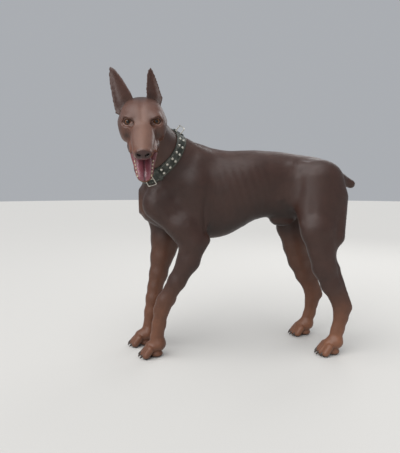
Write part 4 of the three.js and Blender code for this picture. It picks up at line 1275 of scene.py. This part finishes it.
class Band:
    """Places on the collar: turn in degrees from the nape, place across from -1 to 1, and lift off the skin."""

    def __init__(self):
        self.half = bpy.context.scene.doberman_sizes.collar_width / 2
        tree = BVHTree.FromObject(bpy.data.objects["skin"], bpy.context.evaluated_depsgraph_get())
        reach = np.zeros((BAND_TURNS, BAND_ROWS))
        for i, j in np.ndindex(reach.shape):
            out = outward(2 * math.pi * i / BAND_TURNS)
            start = COLLAR_CENTRE + COLLAR_AXIS * self.half * (j / (BAND_ROWS - 1) * 2 - 1)
            hit = tree.ray_cast(start + out * RAY_START, -out, 0.14)[0]
            reach[i, j] = (hit - start).length if hit else NECK_RADIUS
        for _ in range(4):
            reach = (np.roll(reach, 1, 0) + 2 * reach + np.roll(reach, -1, 0)) / 4
        self.reach = reach

    def at(self, turn, across, lift):
        s = (turn % 360) / 360 * BAND_TURNS
        t = (min(max(across, -1), 1) + 1) / 2 * (BAND_ROWS - 1)
        i, j = int(s), min(int(t), BAND_ROWS - 2)
        fs, ft = s - i, t - j
        a, b = (self.reach[k % BAND_TURNS, j] * (1 - ft) + self.reach[k % BAND_TURNS, j + 1] * ft for k in (i, i + 1))
        radius = a * (1 - fs) + b * fs + lift
        return COLLAR_CENTRE + COLLAR_AXIS * self.half * across + outward(math.radians(turn)) * radius

    def frame(self, turn, across, lift):
        """A matrix whose X runs round the neck, Y along the neck and Z outwards."""
        here = self.at(turn, across, lift)
        along = (self.at(turn + 2, across, lift) - self.at(turn - 2, across, lift)).normalized()
        up = (self.at(turn, min(across + 0.3, 1), lift) - self.at(turn, max(across - 0.3, -1), lift)).normalized()
        out = along.cross(up).normalized()
        if out.dot(here - COLLAR_CENTRE) < 0:
            out = -out
        return Matrix.Translation(here) @ Matrix((along, out.cross(along), out)).transposed().to_4x4()


def bent_ring(width, height, wire, matrix):
    """A round wire bent to a rectangle with soft corners of 3 mm."""
    steps, radius = 6, 3 * MM
    outline = [Vector((cx * (width / 2 - radius) + radius * math.cos(math.radians(start + 90 * k / steps)),
                       cy * (height / 2 - radius) + radius * math.sin(math.radians(start + 90 * k / steps)), 0))
               for cx, cy, start in ((1, 1, 0), (-1, 1, 90), (-1, -1, 180), (1, -1, 270)) for k in range(steps + 1)]
    count = len(outline)

    def place(u, v):
        k = u * count
        p = outline[int(k) % count].lerp(outline[(int(k) + 1) % count], k - int(k))
        out = Vector((p.x, p.y * width / height, 0)).normalized()
        angle = v * 2 * math.pi
        return matrix @ (p + out * wire * math.cos(angle) + Vector((0, 0, wire * math.sin(angle))))
    return sheet(count, 12, place)


class DOBERMAN_OT_collar(bpy.types.Operator):
    """Models the leather band, its stitching, studs and keepers, the buckle and the standing ring"""
    bl_idname = "doberman.collar"
    bl_label = "Collar"

    def execute(self, context):
        band = Band()
        thick = context.scene.doberman_sizes.collar_thickness
        leather = leather_material(context.scene.doberman_colours.leather[:])
        metal = nickel_material()
        # Waxed linen thread, pale grey, in short raised stitches
        thread = grained("waxed_linen_thread", "#7d7b70", "#b7b4a6", 2200.0, Roughness=0.6)

        def place(u, v):
            k = v * len(BAND_PROFILE)
            a, b = (BAND_PROFILE[(int(k) + step) % len(BAND_PROFILE)] for step in (0, 1))
            t = k - int(k)
            return band.at(u * 360, a[0] * (1 - t) + b[0] * t, SLACK + (a[1] * (1 - t) + b[1] * t) * thick)
        bm = sheet(180, len(BAND_PROFILE), place)
        bmesh.ops.recalc_face_normals(bm, faces=bm.faces)
        new_object("collar_band", bm, leather, "collar_leather", "collar")
        # Turns, rows, segments, radius, stretch and lift in thicknesses of the stitches and studs
        for name, material, slot, turns, row, segments, radius, stretch, lift in (
                ("collar_stitching", thread, "collar_leather", [k * 360 / STITCHES for k in range(STITCHES)], 0.76,
                 (8, 5), 0.55 * MM, (3.0, 1, 0.8), 0.95),
                ("collar_studs", metal, "collar_metal", STUDS, 0.42, (20, 12), STUD_RADIUS, (1, 1, 0.55), 1.12)):
            bm = bmesh.new()
            for turn in turns:
                for across in (-row, row):
                    made = bmesh.ops.create_uvsphere(bm, u_segments=segments[0], v_segments=segments[1],
                                                     radius=radius)["verts"]
                    bmesh.ops.scale(bm, vec=stretch, verts=made)
                    bmesh.ops.transform(bm, matrix=band.frame(turn, across, SLACK + thick * lift), verts=made)
            new_object(name, bm, material, slot)
        lift = SLACK + thick * 1.1
        buckle = band.frame(150, 0, lift + 2.2 * MM)
        bm = bent_ring(*BUCKLE, buckle)
        pin = bmesh.ops.create_cone(bm, cap_ends=True, segments=12, radius1=1.7 * MM, radius2=1.2 * MM, depth=34 * MM)
        flat = Matrix.Translation((0, 0, 2.2 * MM)) @ Matrix.Rotation(math.pi / 2, 4, "Y")
        bmesh.ops.transform(bm, matrix=buckle @ flat, verts=pin["verts"])
        new_object("collar_buckle", bm, metal, "collar_metal", "buckle")
        standing = Matrix.Translation((0, 0, 11 * MM)) @ Matrix.Rotation(math.pi / 2, 4, "X")
        bm = bent_ring(*RING, band.frame(2, 0, lift) @ standing)
        new_object("collar_ring", bm, metal, "collar_metal", "collar_ring")
        for turn, width, name in ((2, 12, "ring_keeper"), (128, 9, "strap_keeper")):
            bm = sheet(36, 8, lambda u, v: band.at(turn + (v - 0.5) * width / 1.4, math.cos(u * 2 * math.pi) * 1.06,
                                                   lift + (0.9 + 1.5 * math.sin(u * 2 * math.pi)) * MM))
            bmesh.ops.solidify(bm, geom=bm.faces[:], thickness=1.2 * MM)
            bmesh.ops.recalc_face_normals(bm, faces=bm.faces)
            new_object(name, bm, leather, "collar_leather")
        return {"FINISHED"}


# Stage

def aim(thing, direction):
    """Turns a lamp or the camera along a direction."""
    thing.rotation_euler = Vector(direction).to_track_quat("-Z", "Y").to_euler()


class DOBERMAN_OT_stage(bpy.types.Operator):
    """Lays a pale floor, sets soft studio lights and the camera at the photograph's angle"""
    bl_idname = "doberman.stage"
    bl_label = "Stage"

    def execute(self, context):
        scene = context.scene
        bm = bmesh.new()
        bmesh.ops.create_circle(bm, cap_ends=True, segments=128, radius=14)
        floor = add_object("studio_floor", mesh_from(bm, "studio_floor"))
        # Matt paper: two near greys in a fine tooth
        floor.data.materials.append(grained("matt_paper_floor", "#c2c0bc", "#c9c7c3", 300.0, Roughness=0.9))
        scene.world = bpy.data.worlds.new("studio_world")
        scene.world.use_nodes = True
        tree = scene.world.node_tree
        connect(tree, tree.nodes["Background"], Color=(*linear("#e4e8ee"), 1), Strength=0.52)
        sun = bpy.data.lights.new("overcast_sky", "SUN")
        sun.energy, sun.angle = 3.1, math.radians(75)
        aim(add_object("overcast_sky", sun), (0.34, 0.42, -0.84))
        target = from_withers((120, -40, 420))
        for name, place, size, power in (("front_softbox", (-1.7, -2.4, 1.6), 1.6, 13),
                                         ("rim_softbox", (1.4, 1.9, 2.0), 1.4, 14)):
            light = bpy.data.lights.new(name, "AREA")
            light.size, light.energy = size, power
            lamp = add_object(name, light)
            lamp.location = place
            aim(lamp, target - lamp.location)
        camera = bpy.data.cameras.new("photo_camera")
        camera.sensor_width, camera.lens, camera.clip_start = 36, 36 * 450 / 453, 0.05
        scene.camera = add_object("photo_camera", camera)
        scene.camera.location = from_withers((-150.3, -1519.6, 576))
        yaw, pitch = math.radians(5.65), math.radians(5.545)
        aim(scene.camera, (math.sin(yaw) * math.cos(pitch), math.cos(yaw) * math.cos(pitch), -math.sin(pitch)))
        scene.view_settings.view_transform = "Standard"
        return {"FINISHED"}


OPERATORS = (DOBERMAN_OT_stage, DOBERMAN_OT_skin, DOBERMAN_OT_coat, DOBERMAN_OT_eyes,
             DOBERMAN_OT_mouth, DOBERMAN_OT_claws, DOBERMAN_OT_collar)


class DOBERMAN_PT_panel(bpy.types.Panel):
    """Lists the pieces of the dog and their sizes"""
    bl_idname = "DOBERMAN_PT_panel"
    bl_label = "Doberman pinscher"
    bl_space_type = "VIEW_3D"
    bl_region_type = "UI"
    bl_category = "Doberman"

    def draw(self, context):
        for group in (context.scene.doberman_sizes, context.scene.doberman_colours):
            for name in group.__annotations__:
                self.layout.prop(group, name)
        for operator in OPERATORS:
            self.layout.operator(operator.bl_idname)


CLASSES = (DobermanSizes, DobermanColours, *OPERATORS, DOBERMAN_PT_panel)


def register():
    for cls in CLASSES:
        bpy.utils.register_class(cls)
    bpy.types.Scene.doberman_sizes = bpy.props.PointerProperty(type=DobermanSizes)
    bpy.types.Scene.doberman_colours = bpy.props.PointerProperty(type=DobermanColours)


def unregister():
    del bpy.types.Scene.doberman_colours
    del bpy.types.Scene.doberman_sizes
    for cls in reversed(CLASSES):
        bpy.utils.unregister_class(cls)


def main():
    register()
    bpy.ops.doberman.stage()
    bpy.ops.doberman.skin()
    bpy.ops.doberman.coat()
    bpy.ops.doberman.eyes()
    bpy.ops.doberman.mouth()
    bpy.ops.doberman.claws()
    bpy.ops.doberman.collar()


if __name__ == "__main__":
    main()
